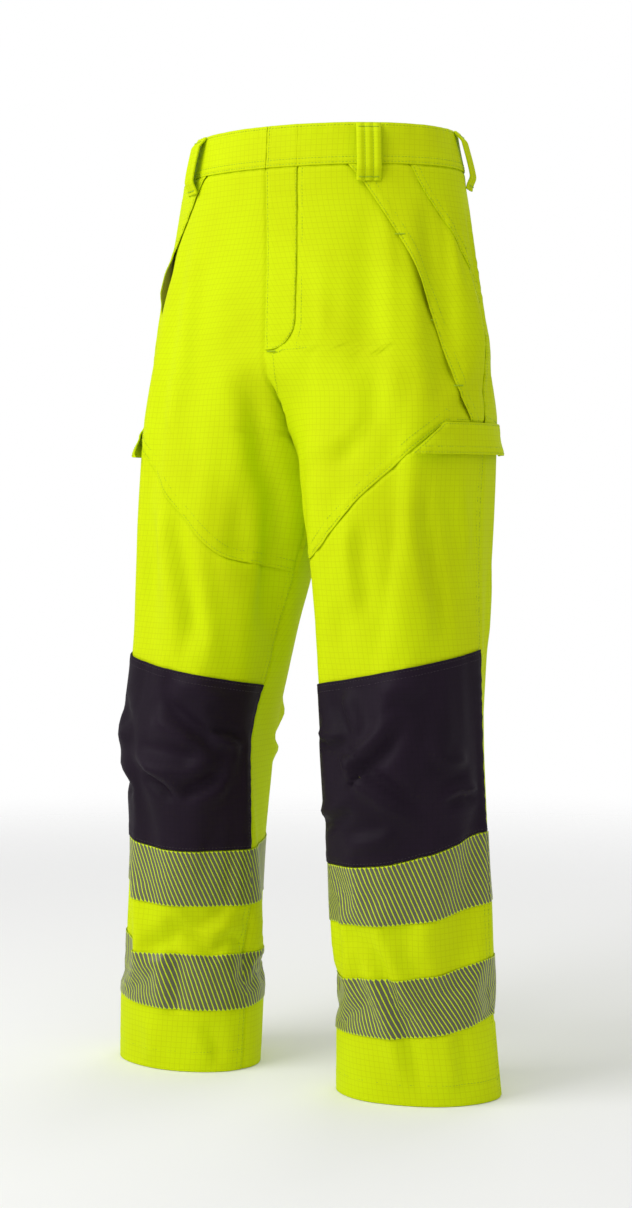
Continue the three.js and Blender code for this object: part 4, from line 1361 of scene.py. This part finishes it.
@dataclass
class Legs:
    """Leg panels, hems, reflective bands and knee patches."""

    tailor: Tailor
    pattern: Pattern
    hem_depth: float = 0.022
    knee_swell: float = 0.005
    band_sink: float = 0.0011
    patch_sink: float = 0.0016

    def build(self) -> None:
        """Make both legs."""
        for side in Side:
            self.panels(side)
            self.facing(side)
            self.bands(side)
            self.knee(side)

    def panels(self, side: Side) -> None:
        """Make the front and the back of one leg."""
        pattern, shell = self.pattern, self.tailor.finishes
        hem = Edge(constant(pattern.hem), Sewn.CUT, (self.hem_depth,))

        def covered(z: Array, low: Array, high: Array) -> Array:
            return smooth((z - low - 0.001) / 0.004) * smooth((high - z - 0.001) / 0.004)

        def under_front(t: Array, z: Array) -> Array:
            return (-self.band_sink * covered(z, pattern.lower_tape(t), pattern.lower_tape_top(t))
                    - self.patch_sink * covered(z, pattern.upper_tape(t), pattern.patch_top(t)))

        def under_back(t: Array, z: Array) -> Array:
            return (-self.band_sink * covered(z, pattern.lower_tape(t), pattern.lower_tape_top(t))
                    - self.band_sink * covered(z, pattern.upper_tape(t), pattern.upper_tape_top(t)))

        front = Panel(
            f"leg_front_panel_{side.word}", side,
            Edge(constant(-180.0), Sewn.FOLDED, (0.002, 0.008)),
            Edge(constant(pattern.side_seam), Sewn.FOLDED, (0.002, 0.008)),
            hem, Edge(pattern.yoke, Sewn.TUCKED, (), 0.006), near=-1.0, swell=under_front)
        back = Panel(
            f"leg_back_panel_{side.word}", side,
            Edge(constant(pattern.side_seam), Sewn.TUCKED, ()),
            Edge(constant(180.0), Sewn.TUCKED, (), 0.0),
            hem, Edge(pattern.seat_seam, Sewn.TUCKED, (), 0.006), near=-1.0, swell=under_back)
        for panel, node in ((front, "leg_front"), (back, "leg_back")):
            pieces = self.tailor.make(panel, shell.shell, shell.lining, shell.thread)
            dress(pieces, "garment", "hivis_ripstop", f"{node}_{side.word}")

    def facing(self, side: Side) -> None:
        """Make the turned-up cloth inside a hem."""
        pattern, shell = self.pattern, self.tailor.finishes
        panel = Panel(
            f"hem_turnup_{side.word}", side,
            Edge(constant(-180.0), Sewn.CUT), Edge(constant(180.0), Sewn.CUT),
            Edge(constant(pattern.hem + 0.0005), Sewn.CUT),
            Edge(constant(pattern.hem + self.hem_depth + 0.003), Sewn.CUT),
            near=-1.0, lift=-0.0016)
        pieces = self.tailor.make(panel, shell.lining, shell.shell)
        dress(pieces, "garment", "hivis_ripstop", f"hem_facing_{side.word}")

    def bands(self, side: Side) -> None:
        """Make the two reflective bands of one leg, each in a front and a back length."""
        pattern, shell = self.pattern, self.tailor.finishes
        for level, line, top in (("upper", pattern.upper_tape, pattern.upper_tape_top),
                                 ("lower", pattern.lower_tape, pattern.lower_tape_top)):
            for part, low, high in (("front", -179.9, pattern.side_seam - 0.3),
                                    ("back", pattern.side_seam + 0.3, 179.9)):
                panel = Panel(
                    f"band_{level}_{part}_{side.word}", side,
                    Edge(constant(low), Sewn.CUT), Edge(constant(high), Sewn.CUT),
                    Edge(line, Sewn.CUT), Edge(top, Sewn.CUT),
                    near=-0.9, lift=0.0011, thickness=0.0004, step=0.005, held="laid",
                    rests_on=(f"leg_{part}_panel_{side.word}",))
                pieces = self.tailor.make(panel, shell.tape, shell.lining)
                dress(pieces, "garment", "reflective_tape", f"tape_{level}_{part}_{side.word}")

    def knee(self, side: Side) -> None:
        """Make one knee patch and the pad pouch behind it."""
        pattern, shell = self.pattern, self.tailor.finishes

        def swell(t: Array, z: Array) -> Array:
            u = (t + 180) / (180 + pattern.side_seam)
            low, high = pattern.patch_bottom(t), pattern.patch_top(t)
            v = np.clip((z - low) / (high - low), 0, 1)
            return self.knee_swell * (np.sin(math.pi * np.clip(u, 0, 1)) * np.sin(math.pi * v)) ** 2

        panel = Panel(
            f"knee_panel_{side.word}", side,
            Edge(constant(-179.4), Sewn.FOLDED, (0.003,)),
            Edge(constant(pattern.side_seam - 0.6), Sewn.FOLDED, (0.003,)),
            Edge(pattern.patch_bottom, Sewn.FOLDED, (0.003,)),
            Edge(pattern.patch_top, Sewn.FOLDED, (0.003, 0.009)),
            lift=0.0017, thickness=0.0012, swell=swell, step=0.005, held="laid",
            rests_on=(f"leg_front_panel_{side.word}",))
        pieces = self.tailor.make(panel, shell.knee, shell.lining, shell.dark_thread)
        dress(pieces, "garment", "knee_fabric", f"knee_patch_{side.word}")
        pouch = Panel(
            f"pad_pouch_{side.word}", side,
            Edge(constant(-140.0), Sewn.CUT, (0.003,)), Edge(constant(-30.0), Sewn.CUT, (0.003,)),
            Edge(lambda t: pattern.patch_bottom(t) + 0.012, Sewn.CUT, (0.003,)),
            Edge(lambda t: pattern.patch_top(t) - 0.012, Sewn.CUT), lift=-0.0028, thickness=0.0008)
        pieces = self.tailor.make(pouch, shell.pocketing, shell.pocketing)
        dress(pieces, "garment", "lining", f"knee_pad_pouch_{side.word}")


@dataclass
class Pockets:
    """Pocket bags, and the cargo pockets' flaps with their hook-and-loop strips."""

    tailor: Tailor
    pattern: Pattern
    depth: float = 0.012
    cargo_depth: float = 0.190
    standoff: float = 0.006

    def build(self) -> None:
        """Make the pockets of both sides."""
        for side in Side:
            self.bags(side)
            self.flap(side)

    def bags(self, side: Side) -> None:
        """Make the hand pocket's bag and the cargo pocket's."""
        pattern, shell = self.pattern, self.tailor.finishes

        def bag(name: str, first: Line, last: Line, bottom: float, top: float, node: str) -> None:
            def dish(t: Array, z: Array) -> Array:
                u = (t - first(z)) / (last(z) - first(z))
                v = (z - bottom) / (top - bottom)
                flat = smooth(u * 5) * smooth((1 - u) * 5) * smooth(v * 5) * smooth((1 - v) * 5)
                return -0.0030 - (self.depth - 0.001) * flat

            panel = Panel(name, side, Edge(first, Sewn.CUT), Edge(last, Sewn.CUT),
                          Edge(constant(bottom), Sewn.CUT), Edge(constant(top), Sewn.CUT),
                          near=-0.4, swell=dish, thickness=0.0007)
            pieces = self.tailor.make(panel, shell.pocketing, shell.pocketing)
            dress(pieces, "garment", "lining", node)

        bag(f"hand_bag_{side.word}", lambda z: pattern.pocket(z) - 10, lambda z: pattern.side_back(z) - 2,
            pattern.flap_top + 0.014, -pattern.band - 0.012, f"hand_pocket_bag_{side.word}")
        bag(f"cargo_bag_{side.word}", constant(-40.0), constant(34.0),
            pattern.flap_top - self.cargo_depth, pattern.flap_top + 0.004, f"cargo_pocket_bag_{side.word}")

    def flap(self, side: Side) -> None:
        """Make the cargo pocket's flap and what closes it."""
        pattern, shell = self.pattern, self.tailor.finishes
        top, height = pattern.flap_top, pattern.flap_height

        def stand(t: Array, z: Array) -> Array:
            down = np.clip((top - z) / height, 0, 1)
            flare = 0.0025 * np.sin(t / 9.0) * down
            return 0.0012 + self.standoff * down**1.3 + 0.0012 + flare

        panel = Panel(
            f"flap_{side.word}", side,
            Edge(lambda z: mix(-30, -50, np.clip((top - z) / height, -0.2, 1)), Sewn.FOLDED, (0.002,)),
            Edge(constant(44.0), Sewn.FOLDED, (0.002, 0.008)),
            Edge(constant(top - height), Sewn.FOLDED, (0.002, 0.008)),
            Edge(constant(top), Sewn.FOLDED, (0.002,)),
            near=-0.34, swell=stand, thickness=0.0016, step=0.004, rests_on=(f"hip_{side.word}",))
        pieces = self.tailor.make(panel, shell.shell, shell.shell, shell.thread)
        for piece in pieces:
            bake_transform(piece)
        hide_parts(f"cargo_flap_{side.word}")
        self.strip(side, "flap_hooks", -22, 26, 0.86, 0.52, "flap_hook_strip", f"flap_{side.word}", 0.0036)
        self.strip(side, "pocket_loops", -24, 28, 0.90, 0.48, "flap_loop_strip", "garment", 0.0016)

    def strip(self, side: Side, name: str, first: float, last: float, low: float, high: float,
              node: str, body: str, lift: float) -> None:
        """Make one strip of hook-and-loop.

        Args:
            side: which half.
            name: the piece's name.
            first: its front end, in degrees.
            last: its back end, in degrees.
            low: its lower edge, as a share of the flap's height.
            high: its upper edge.
            node: the CAD node it stands for.
            body: what it moves with.
            lift: how far its face is off the leg.
        """
        pattern, shell = self.pattern, self.tailor.finishes
        panel = Panel(
            f"{name}_{side.word}", side, Edge(constant(first), Sewn.CUT, (0.0015,)),
            Edge(constant(last), Sewn.CUT, (0.0015,)),
            Edge(constant(pattern.flap_top - low * pattern.flap_height), Sewn.CUT, (0.0015,)),
            Edge(constant(pattern.flap_top - high * pattern.flap_height), Sewn.CUT, (0.0015,)),
            near=-0.34, lift=lift, thickness=0.0012, step=0.004, held="laid",
            rests_on=(f"flap_{side.word}" if body != "garment" else f"leg_front_panel_{side.word}",))
        pieces = self.tailor.make(panel, shell.hooks, shell.hooks, shell.thread)
        dress(pieces, body, "hook_and_loop", f"{node}_{side.word}")


@dataclass
class Waist:
    """Waistband, its closure and the belt loops."""

    tailor: Tailor
    pattern: Pattern
    cloth: float = 0.003
    loop_width: float = 0.027
    loop_length: float = 0.065
    loop_gap: float = 0.007
    loop_foot: float = 0.008

    def build(self) -> None:
        """Make the band and the loops."""
        self.band()
        for side in Side:
            for place, angle in (("front", -46.0), ("side", 14.0), ("rear", 58.0)):
                self.loop(f"loop_{place}_{side.word}", side, angle, f"belt_loop_{place}_{side.word}")
        self.loop("loop_middle", Side.LEFT, 90.0, "belt_loop_centre")

    def part(self, name: str, side: Side, first: Line, last: Line, ends: tuple) -> list:
        """Make a length of the waistband.

        Args:
            name: the piece's name.
            side: which half.
            first: its front end.
            last: its back end.
            ends: how both ends are sewn.
        """
        pattern, shell = self.pattern, self.tailor.finishes

        def round_top(t: Array, z: Array) -> Array:
            return -0.0013 * bell(z, 0.0016) + 0.0004 * np.sin(t * 0.31) * smooth((z + 0.05) / 0.05)

        panel = Panel(
            name, side, Edge(first, ends[0], (0.003,) if ends[0] is Sewn.FOLDED else ()),
            Edge(last, ends[1]),
            Edge(constant(-pattern.band), Sewn.FOLDED, (0.0025, 0.008)),
            Edge(constant(0.0), Sewn.CUT, (0.003,)),
            near=-0.04, lift=0.0002, swell=round_top, thickness=self.cloth, step=0.005)
        return self.tailor.make(panel, shell.shell, shell.lining, shell.thread)

    def band(self) -> None:
        """Make the four lengths of the waistband; the underlap is made with the fly."""
        form, pattern = self.tailor.form, self.pattern

        def tab_edge(z: Array) -> Array:
            return -form.angle_at(np.full(np.shape(z), pattern.fly_width), z)

        left = self.part("band_left", Side.LEFT, tab_edge, constant(0.0), (Sewn.CUT, Sewn.CUT))
        dress(left, "garment", "hivis_ripstop", "waistband_left")
        right = self.part("band_right", Side.RIGHT, form.front_middle, constant(0.0), (Sewn.CUT, Sewn.CUT))
        dress(right, "garment", "hivis_ripstop", "waistband_right")
        tab = self.part("band_tab", Side.LEFT, form.front_middle, tab_edge, (Sewn.FOLDED, Sewn.CUT))
        dress(tab, "fly_opening", "hivis_ripstop", "waist_tab")
        for side in Side:
            back = self.part(f"band_back_{side.word}", side, constant(0.0), constant(90.0),
                             (Sewn.CUT, Sewn.CUT))
            dress(back, "garment", "hivis_ripstop", "waistband_back")

    def loop(self, name: str, side: Side, angle: float, node: str) -> None:
        """Make one belt loop: a strap sewn down at both ends and standing off between them."""
        form, shell = self.tailor.form, self.tailor.finishes
        grid = bmesh.new()
        bmesh.ops.create_grid(grid, x_segments=18, y_segments=40, size=0.5)
        if side is Side.RIGHT:
            bmesh.ops.reverse_faces(grid, faces=grid.faces)
        mesh = bpy.data.meshes.new(name)
        grid.to_mesh(mesh)
        grid.free()
        flat = read_points(mesh)
        across, z = flat[:, 0] * self.loop_width, mix(-self.loop_length, -0.001, flat[:, 1] + 0.5)
        points = self.strap(form, side, angle, across, z)
        mesh.vertices.foreach_set("co", points.ravel())
        Tailor.mark(mesh, "cut", np.stack([across + angle * 0.01, z], 1))
        mesh.update()
        piece = link(mesh)
        declare(piece, (self.loop_width, self.loop_length))
        piece.data.materials.append(shell.shell)
        piece.data.materials.append(shell.shell)
        thicken(piece, 0.0018)
        run = np.linspace(-self.loop_length + 0.002, -0.003, 120)
        paths = []
        for row in (-0.0045, 0.0045):
            line = np.full(run.shape, row)
            paths.append((self.strap(form, side, angle, line, run),
                          self.strap(form, side, angle, line, run, 0.001)))
        stitches = stitch(f"{name}_stitching", paths, shell.thread, 0.0024, 0.0032)
        tacks = []
        for height in (-self.loop_length + 0.004, -0.006):
            line = np.linspace(-0.011, 0.011, 60)
            level = np.full(line.shape, height)
            tacks.append((self.strap(form, side, angle, line, level, 0.0003),
                          self.strap(form, side, angle, line, level, 0.0013)))
        bars = stitch(f"{name}_tacks", tacks, shell.thread, 0.0013, 0.0009, 0.0013)
        dress([piece, stitches, bars], "garment", "hivis_ripstop", node)

    def strap(self, form: Form, side: Side, angle: float, across: Array, z: Array, out: float = 0.0) -> Array:
        """Return points of a loop's face.

        Args:
            form: the surface.
            side: which half.
            angle: where the loop is.
            across: distance from the loop's middle line.
            z: height.
            out: distance out from its face.
        """
        x0, y0, nx, ny, _ = (float(v) for v in form.frame(np.array(angle), np.array(0.0)))
        x, y, _, _, _ = form.frame(np.full(z.shape, angle), z)
        reach = (x - x0) * nx + (y - y0) * ny
        foot = smooth((z + self.loop_length) / (2.0 * self.loop_foot)) * smooth(-z / (1.6 * self.loop_foot))
        ridges = 0.0005 * np.cos(across / self.loop_width * 2 * math.pi * 3)
        ends = -0.0008 * smooth((np.abs(across) - self.loop_width / 2 + 0.0018) / 0.0018)
        off = reach + 0.0027 + (self.loop_gap - 0.0009) * foot + ridges + ends + out
        off = off - 0.0008 * bell(np.abs(across) - 0.0045, 0.0012)
        points = np.stack([x0 + nx * off - ny * across, y0 + ny * off + nx * across, z], -1)
        points[..., 0] *= side.value
        return points


@dataclass
class Fly:
    """What lies behind the fly: tapes, teeth, facing, shield, underlap and press stud."""

    tailor: Tailor
    pattern: Pattern
    zip_x: float = 0.008
    zip_y: float = -0.108
    zip_top: float = -0.050
    zip_bottom: float = -0.224
    strip_bottom: float = -0.235
    row_inside: float = 0.0007
    row_outside: float = 0.0029
    tooth_thickness: float = 0.0024
    tooth_pitch: float = 0.0029
    tape: float = 0.0006
    lining: float = 0.0010
    layer: float = 0.0007
    snap_x: float = 0.016

    def build(self) -> None:
        """Make the zip's halves, the facing, the shield and the underlap, and dress the metal."""
        shell, fly = self.tailor.finishes, self.pattern.fly_width
        half = self.tape / 2
        left = [(self.zip_x + 0.0015, self.zip_y), (self.zip_x + 0.012, self.zip_y),
                (fly, self.behind(fly) + half), (fly + 0.014, self.behind(fly + 0.014) + half)]
        right = [(self.zip_x - 0.0015, self.zip_y), (-0.003, self.zip_y),
                 (-0.016, self.behind(-0.016) + half), (-0.028, self.behind(-0.028) + half)]
        for side, route in ((Side.LEFT, left), (Side.RIGHT, right)):
            piece = self.strip(f"zip_web_{side.word}", [(x, y - half) for x, y in route],
                               self.zip_top, self.zip_bottom, self.tape, shell.zip_web)
            dress([piece], "garment", "zip_tape", f"zip_tape_{side.word}")
            teeth = self.teeth(side)
            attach(teeth, "garment")
        inner = [(self.zip_x + 0.006, self.zip_y + half + self.layer)]
        inner += [(x, y + half + self.layer) for x, y in left[1:]]
        inner.append((fly + 0.024, self.behind(fly + 0.024)))
        facing = self.strip("facing_of_fly", inner, self.zip_top, self.strip_bottom, self.lining, shell.shell)
        dress([facing], "garment", "hivis_ripstop", "fly_facing")
        back = self.zip_y + 0.0045
        outer = [(-0.044, self.behind(-0.044)),
                 (-0.030, self.behind(-0.030) + 2 * half + self.layer), (-0.008, back), (0.028, back)]
        shield = self.strip("shield_of_fly", outer, self.zip_top, self.strip_bottom, self.lining, shell.shell)
        dress([shield], "garment", "hivis_ripstop", "fly_shield")
        self.underlap()
        for name in ("zip_bottom_stop", "zip_slider", "zip_pull", "snap_socket", "snap_stud"):
            node = bpy.data.objects[name]
            node.data.materials.clear()
            node.data.materials.append(shell.metal)

    def behind(self, x: float) -> float:
        """Return the y that clears the shell's inner face beside the fly, at x."""
        z = np.linspace(self.zip_top, self.zip_bottom, 13)
        _, y, _, ny, _ = self.tailor.form.frame(-self.tailor.form.angle_at(np.full(13, abs(x)), z), z)
        return float((y - 0.0015 * ny).max()) + self.layer

    def underlap(self) -> None:
        """Make the right-hand end of the waistband, which runs on under the tab."""
        form, shell = self.tailor.form, self.tailor.finishes

        def inside(x: float) -> float:
            _, y, _, ny, _ = form.frame(-form.angle_at(np.array(abs(x)), np.array(0.0)), np.array(0.0))
            return float(y - 0.003 * ny) + self.layer

        back = inside(self.snap_x) + 0.0036
        route = [(-0.034, inside(-0.034)), (-0.006, inside(-0.006)), (0.004, back), (0.034, back)]
        lap = self.strip("band_underlap", route, -0.003, -0.043, 0.002, shell.shell)
        dress([lap], "garment", "hivis_ripstop", "waist_underlap")

    def strip(self, name: str, route: list, top: float, bottom: float, thickness: float,
              finish: bpy.types.Material) -> bpy.types.Object:
        """Make a strip of cloth hanging behind a route.

        Args:
            name: the piece's name.
            route: (x, y) points of its front face, in plan.
            top: its upper edge.
            bottom: its lower edge.
            thickness: of the cloth.
            finish: its material.
        """
        grid = bmesh.new()
        bmesh.ops.create_grid(grid, x_segments=28, y_segments=36, size=0.5)
        if route[-1][0] < route[0][0]:
            bmesh.ops.reverse_faces(grid, faces=grid.faces)
        mesh = bpy.data.meshes.new(name)
        grid.to_mesh(mesh)
        grid.free()
        flat = read_points(mesh)
        corners = np.array(route)
        run = np.concatenate([[0], np.cumsum(np.linalg.norm(np.diff(corners, axis=0), axis=1))])
        at = (flat[:, 0] + 0.5) * run[-1]
        z = mix(bottom, top, flat[:, 1] + 0.5)
        x, y = (np.mean([np.interp(at + d, run, corners[:, k]) for d in (-0.001, 0, 0.001)], 0)
                for k in (0, 1))
        y = y + 0.00012 * np.sin(z * 90 + at * 160)
        mesh.vertices.foreach_set("co", np.stack([x, y, z], 1).ravel())
        Tailor.mark(mesh, "cut", np.stack([at, z], 1))
        mesh.update()
        piece = link(mesh)
        declare(piece, (float(run[-1]), top - bottom))
        piece.data.materials.append(finish)
        piece.data.materials.append(finish)
        thicken(piece, thickness)
        log.info("hung %s", name)
        return piece

    def teeth(self, side: Side) -> bpy.types.Object:
        """Make one row of the zip's teeth, those of the right staggered by half a pitch."""
        tooth = bmesh.new()
        bmesh.ops.create_cube(tooth, size=1.0)
        bmesh.ops.triangulate(tooth, faces=tooth.faces)
        tooth.verts.ensure_lookup_table()
        corners = np.array([v.co[:] for v in tooth.verts])
        faces = np.array([[v.index for v in f.verts] for f in tooth.faces])
        tooth.free()
        corners = corners * (self.row_outside - self.row_inside, self.tooth_thickness, 0.0017)
        corners[:, 2] *= np.where(corners[:, 0] * side.value < 0, 0.62, 1.0)
        first = self.zip_top - 0.002 - (self.tooth_pitch / 2 if side is Side.RIGHT else 0.0)
        heights = np.arange(first, self.zip_bottom + 0.002, -self.tooth_pitch)
        x = self.zip_x + side.value * (self.row_inside + self.row_outside) / 2
        centre = np.stack([np.full(heights.shape, x), np.full(heights.shape, self.zip_y), heights], 1)
        points = corners[None] + centre[:, None]
        index = faces[None] + (np.arange(len(centre)) * len(corners))[:, None, None]
        mesh = bpy.data.meshes.new(f"zip_teeth_{side.word}")
        mesh.from_pydata(points.reshape(-1, 3).tolist(), [], index.reshape(-1, 3).tolist())
        mesh.materials.append(self.tailor.finishes.metal)
        made = bpy.data.objects.new(mesh.name, mesh)
        bpy.context.scene.collection.objects.link(made)
        return made


# ---------------------------------------------------------------- studio
@dataclass(frozen=True)
class Studio:
    """Pale floor, soft light and the camera."""

    azimuth: float = 33.0
    distance: float = 2.748
    height: float = -0.406
    lens: float = 73.2
    axis_y: float = -0.0205
    floor: float = -1.0405

    def build(self) -> None:
        """Set the floor, world, lights and camera."""
        floor = bmesh.new()
        bmesh.ops.create_grid(floor, x_segments=2, y_segments=2, size=6.0)
        bmesh.ops.translate(floor, verts=floor.verts, vec=(0, 0, self.floor))
        mesh = bpy.data.meshes.new("floor")
        floor.to_mesh(mesh)
        floor.free()
        ground = link(mesh)
        graph = Graph("pale_floor")
        parts = graph.node("ShaderNodeSeparateXYZ", None, {"Vector": graph.object_place()})
        x, y = Wire(graph, parts.outputs["X"]), Wire(graph, parts.outputs["Y"])
        fade = 1 - (x * x + y * y).step(1.0, 7.0)
        ground.data.materials.append(graph.finish(Base_Color=(0.9, 0.9, 0.9, 1), Roughness=0.9,
                                                  Alpha=fade))
        world = bpy.data.worlds.new("soft_room")
        world.use_nodes = True
        tree = world.node_tree
        room = tree.nodes["Background"]
        room.inputs["Color"].default_value = (1, 1, 1, 1)
        seen = tree.nodes.new("ShaderNodeLightPath")
        level = tree.nodes.new("ShaderNodeMapRange")
        level.inputs["To Min"].default_value, level.inputs["To Max"].default_value = 0.60, 1.0
        tree.links.new(seen.outputs["Is Camera Ray"], level.inputs["Value"])
        tree.links.new(level.outputs["Result"], room.inputs["Strength"])
        bpy.context.scene.world = world
        bpy.context.scene.view_settings.view_transform = "Standard"
        self.light("key", 62.0, 32.0, 2.6, 39.5)
        self.light("top", 10.0, 70.0, 3.0, 10.0)
        self.light("back", 200.0, 30.0, 3.2, 16.0)
        self.camera()

    def light(self, name: str, azimuth: float, rise: float, distance: float, power: float) -> None:
        """Add one large soft light, turned from the camera's own side.

        Args:
            name: its name.
            azimuth: degrees to the camera's left.
            rise: degrees above level.
            distance: from the object's middle.
            power: in watts.
        """
        lamp = bpy.data.lights.new(name, "AREA")
        lamp.energy = power
        lamp.shape = "SQUARE"
        lamp.size = 1.8
        turn = math.radians(self.azimuth - azimuth)
        tilt = math.radians(rise)
        way = Vector((math.sin(turn) * math.cos(tilt), -math.cos(turn) * math.cos(tilt), math.sin(tilt)))
        middle = Vector((0, 0, -0.5))
        holder = bpy.data.objects.new(name, lamp)
        holder.location = middle + way * distance
        holder.rotation_euler = way.to_track_quat("Z", "Y").to_euler()
        bpy.context.scene.collection.objects.link(holder)

    def camera(self) -> None:
        """Set the camera level with the thighs, a third of the way round to the wearer's left."""
        data = bpy.data.cameras.new("camera")
        data.lens = self.lens
        data.sensor_width = 36.0
        data.sensor_fit = "AUTO"
        data.shift_y = -0.086
        turn = math.radians(self.azimuth)
        way = Vector((math.sin(turn), -math.cos(turn), 0))
        holder = bpy.data.objects.new("camera", data)
        holder.location = Vector((0, self.axis_y, self.height)) + way * self.distance
        holder.rotation_euler = way.to_track_quat("Z", "Y").to_euler()
        bpy.context.scene.collection.objects.link(holder)
        bpy.context.scene.camera = holder


def corners(box: Sequence) -> list:
    """Return a box's two corners as plain lists."""
    return [[float(v) for v in corner] for corner in box]


def main() -> None:
    """Build the garment on the frame, then the studio."""
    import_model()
    form = Form()
    drape = Drape(form)
    drape.settle()
    tailor = Tailor(form, drape, Finishes())
    pattern = Pattern(form)
    for part in (Upper(tailor, pattern), Legs(tailor, pattern), Pockets(tailor, pattern),
                 Waist(tailor, pattern), Fly(tailor, pattern)):
        part.build()
        log.info("built %s", type(part).__name__)
    Studio().build()


if __name__ == "__main__":
    main()
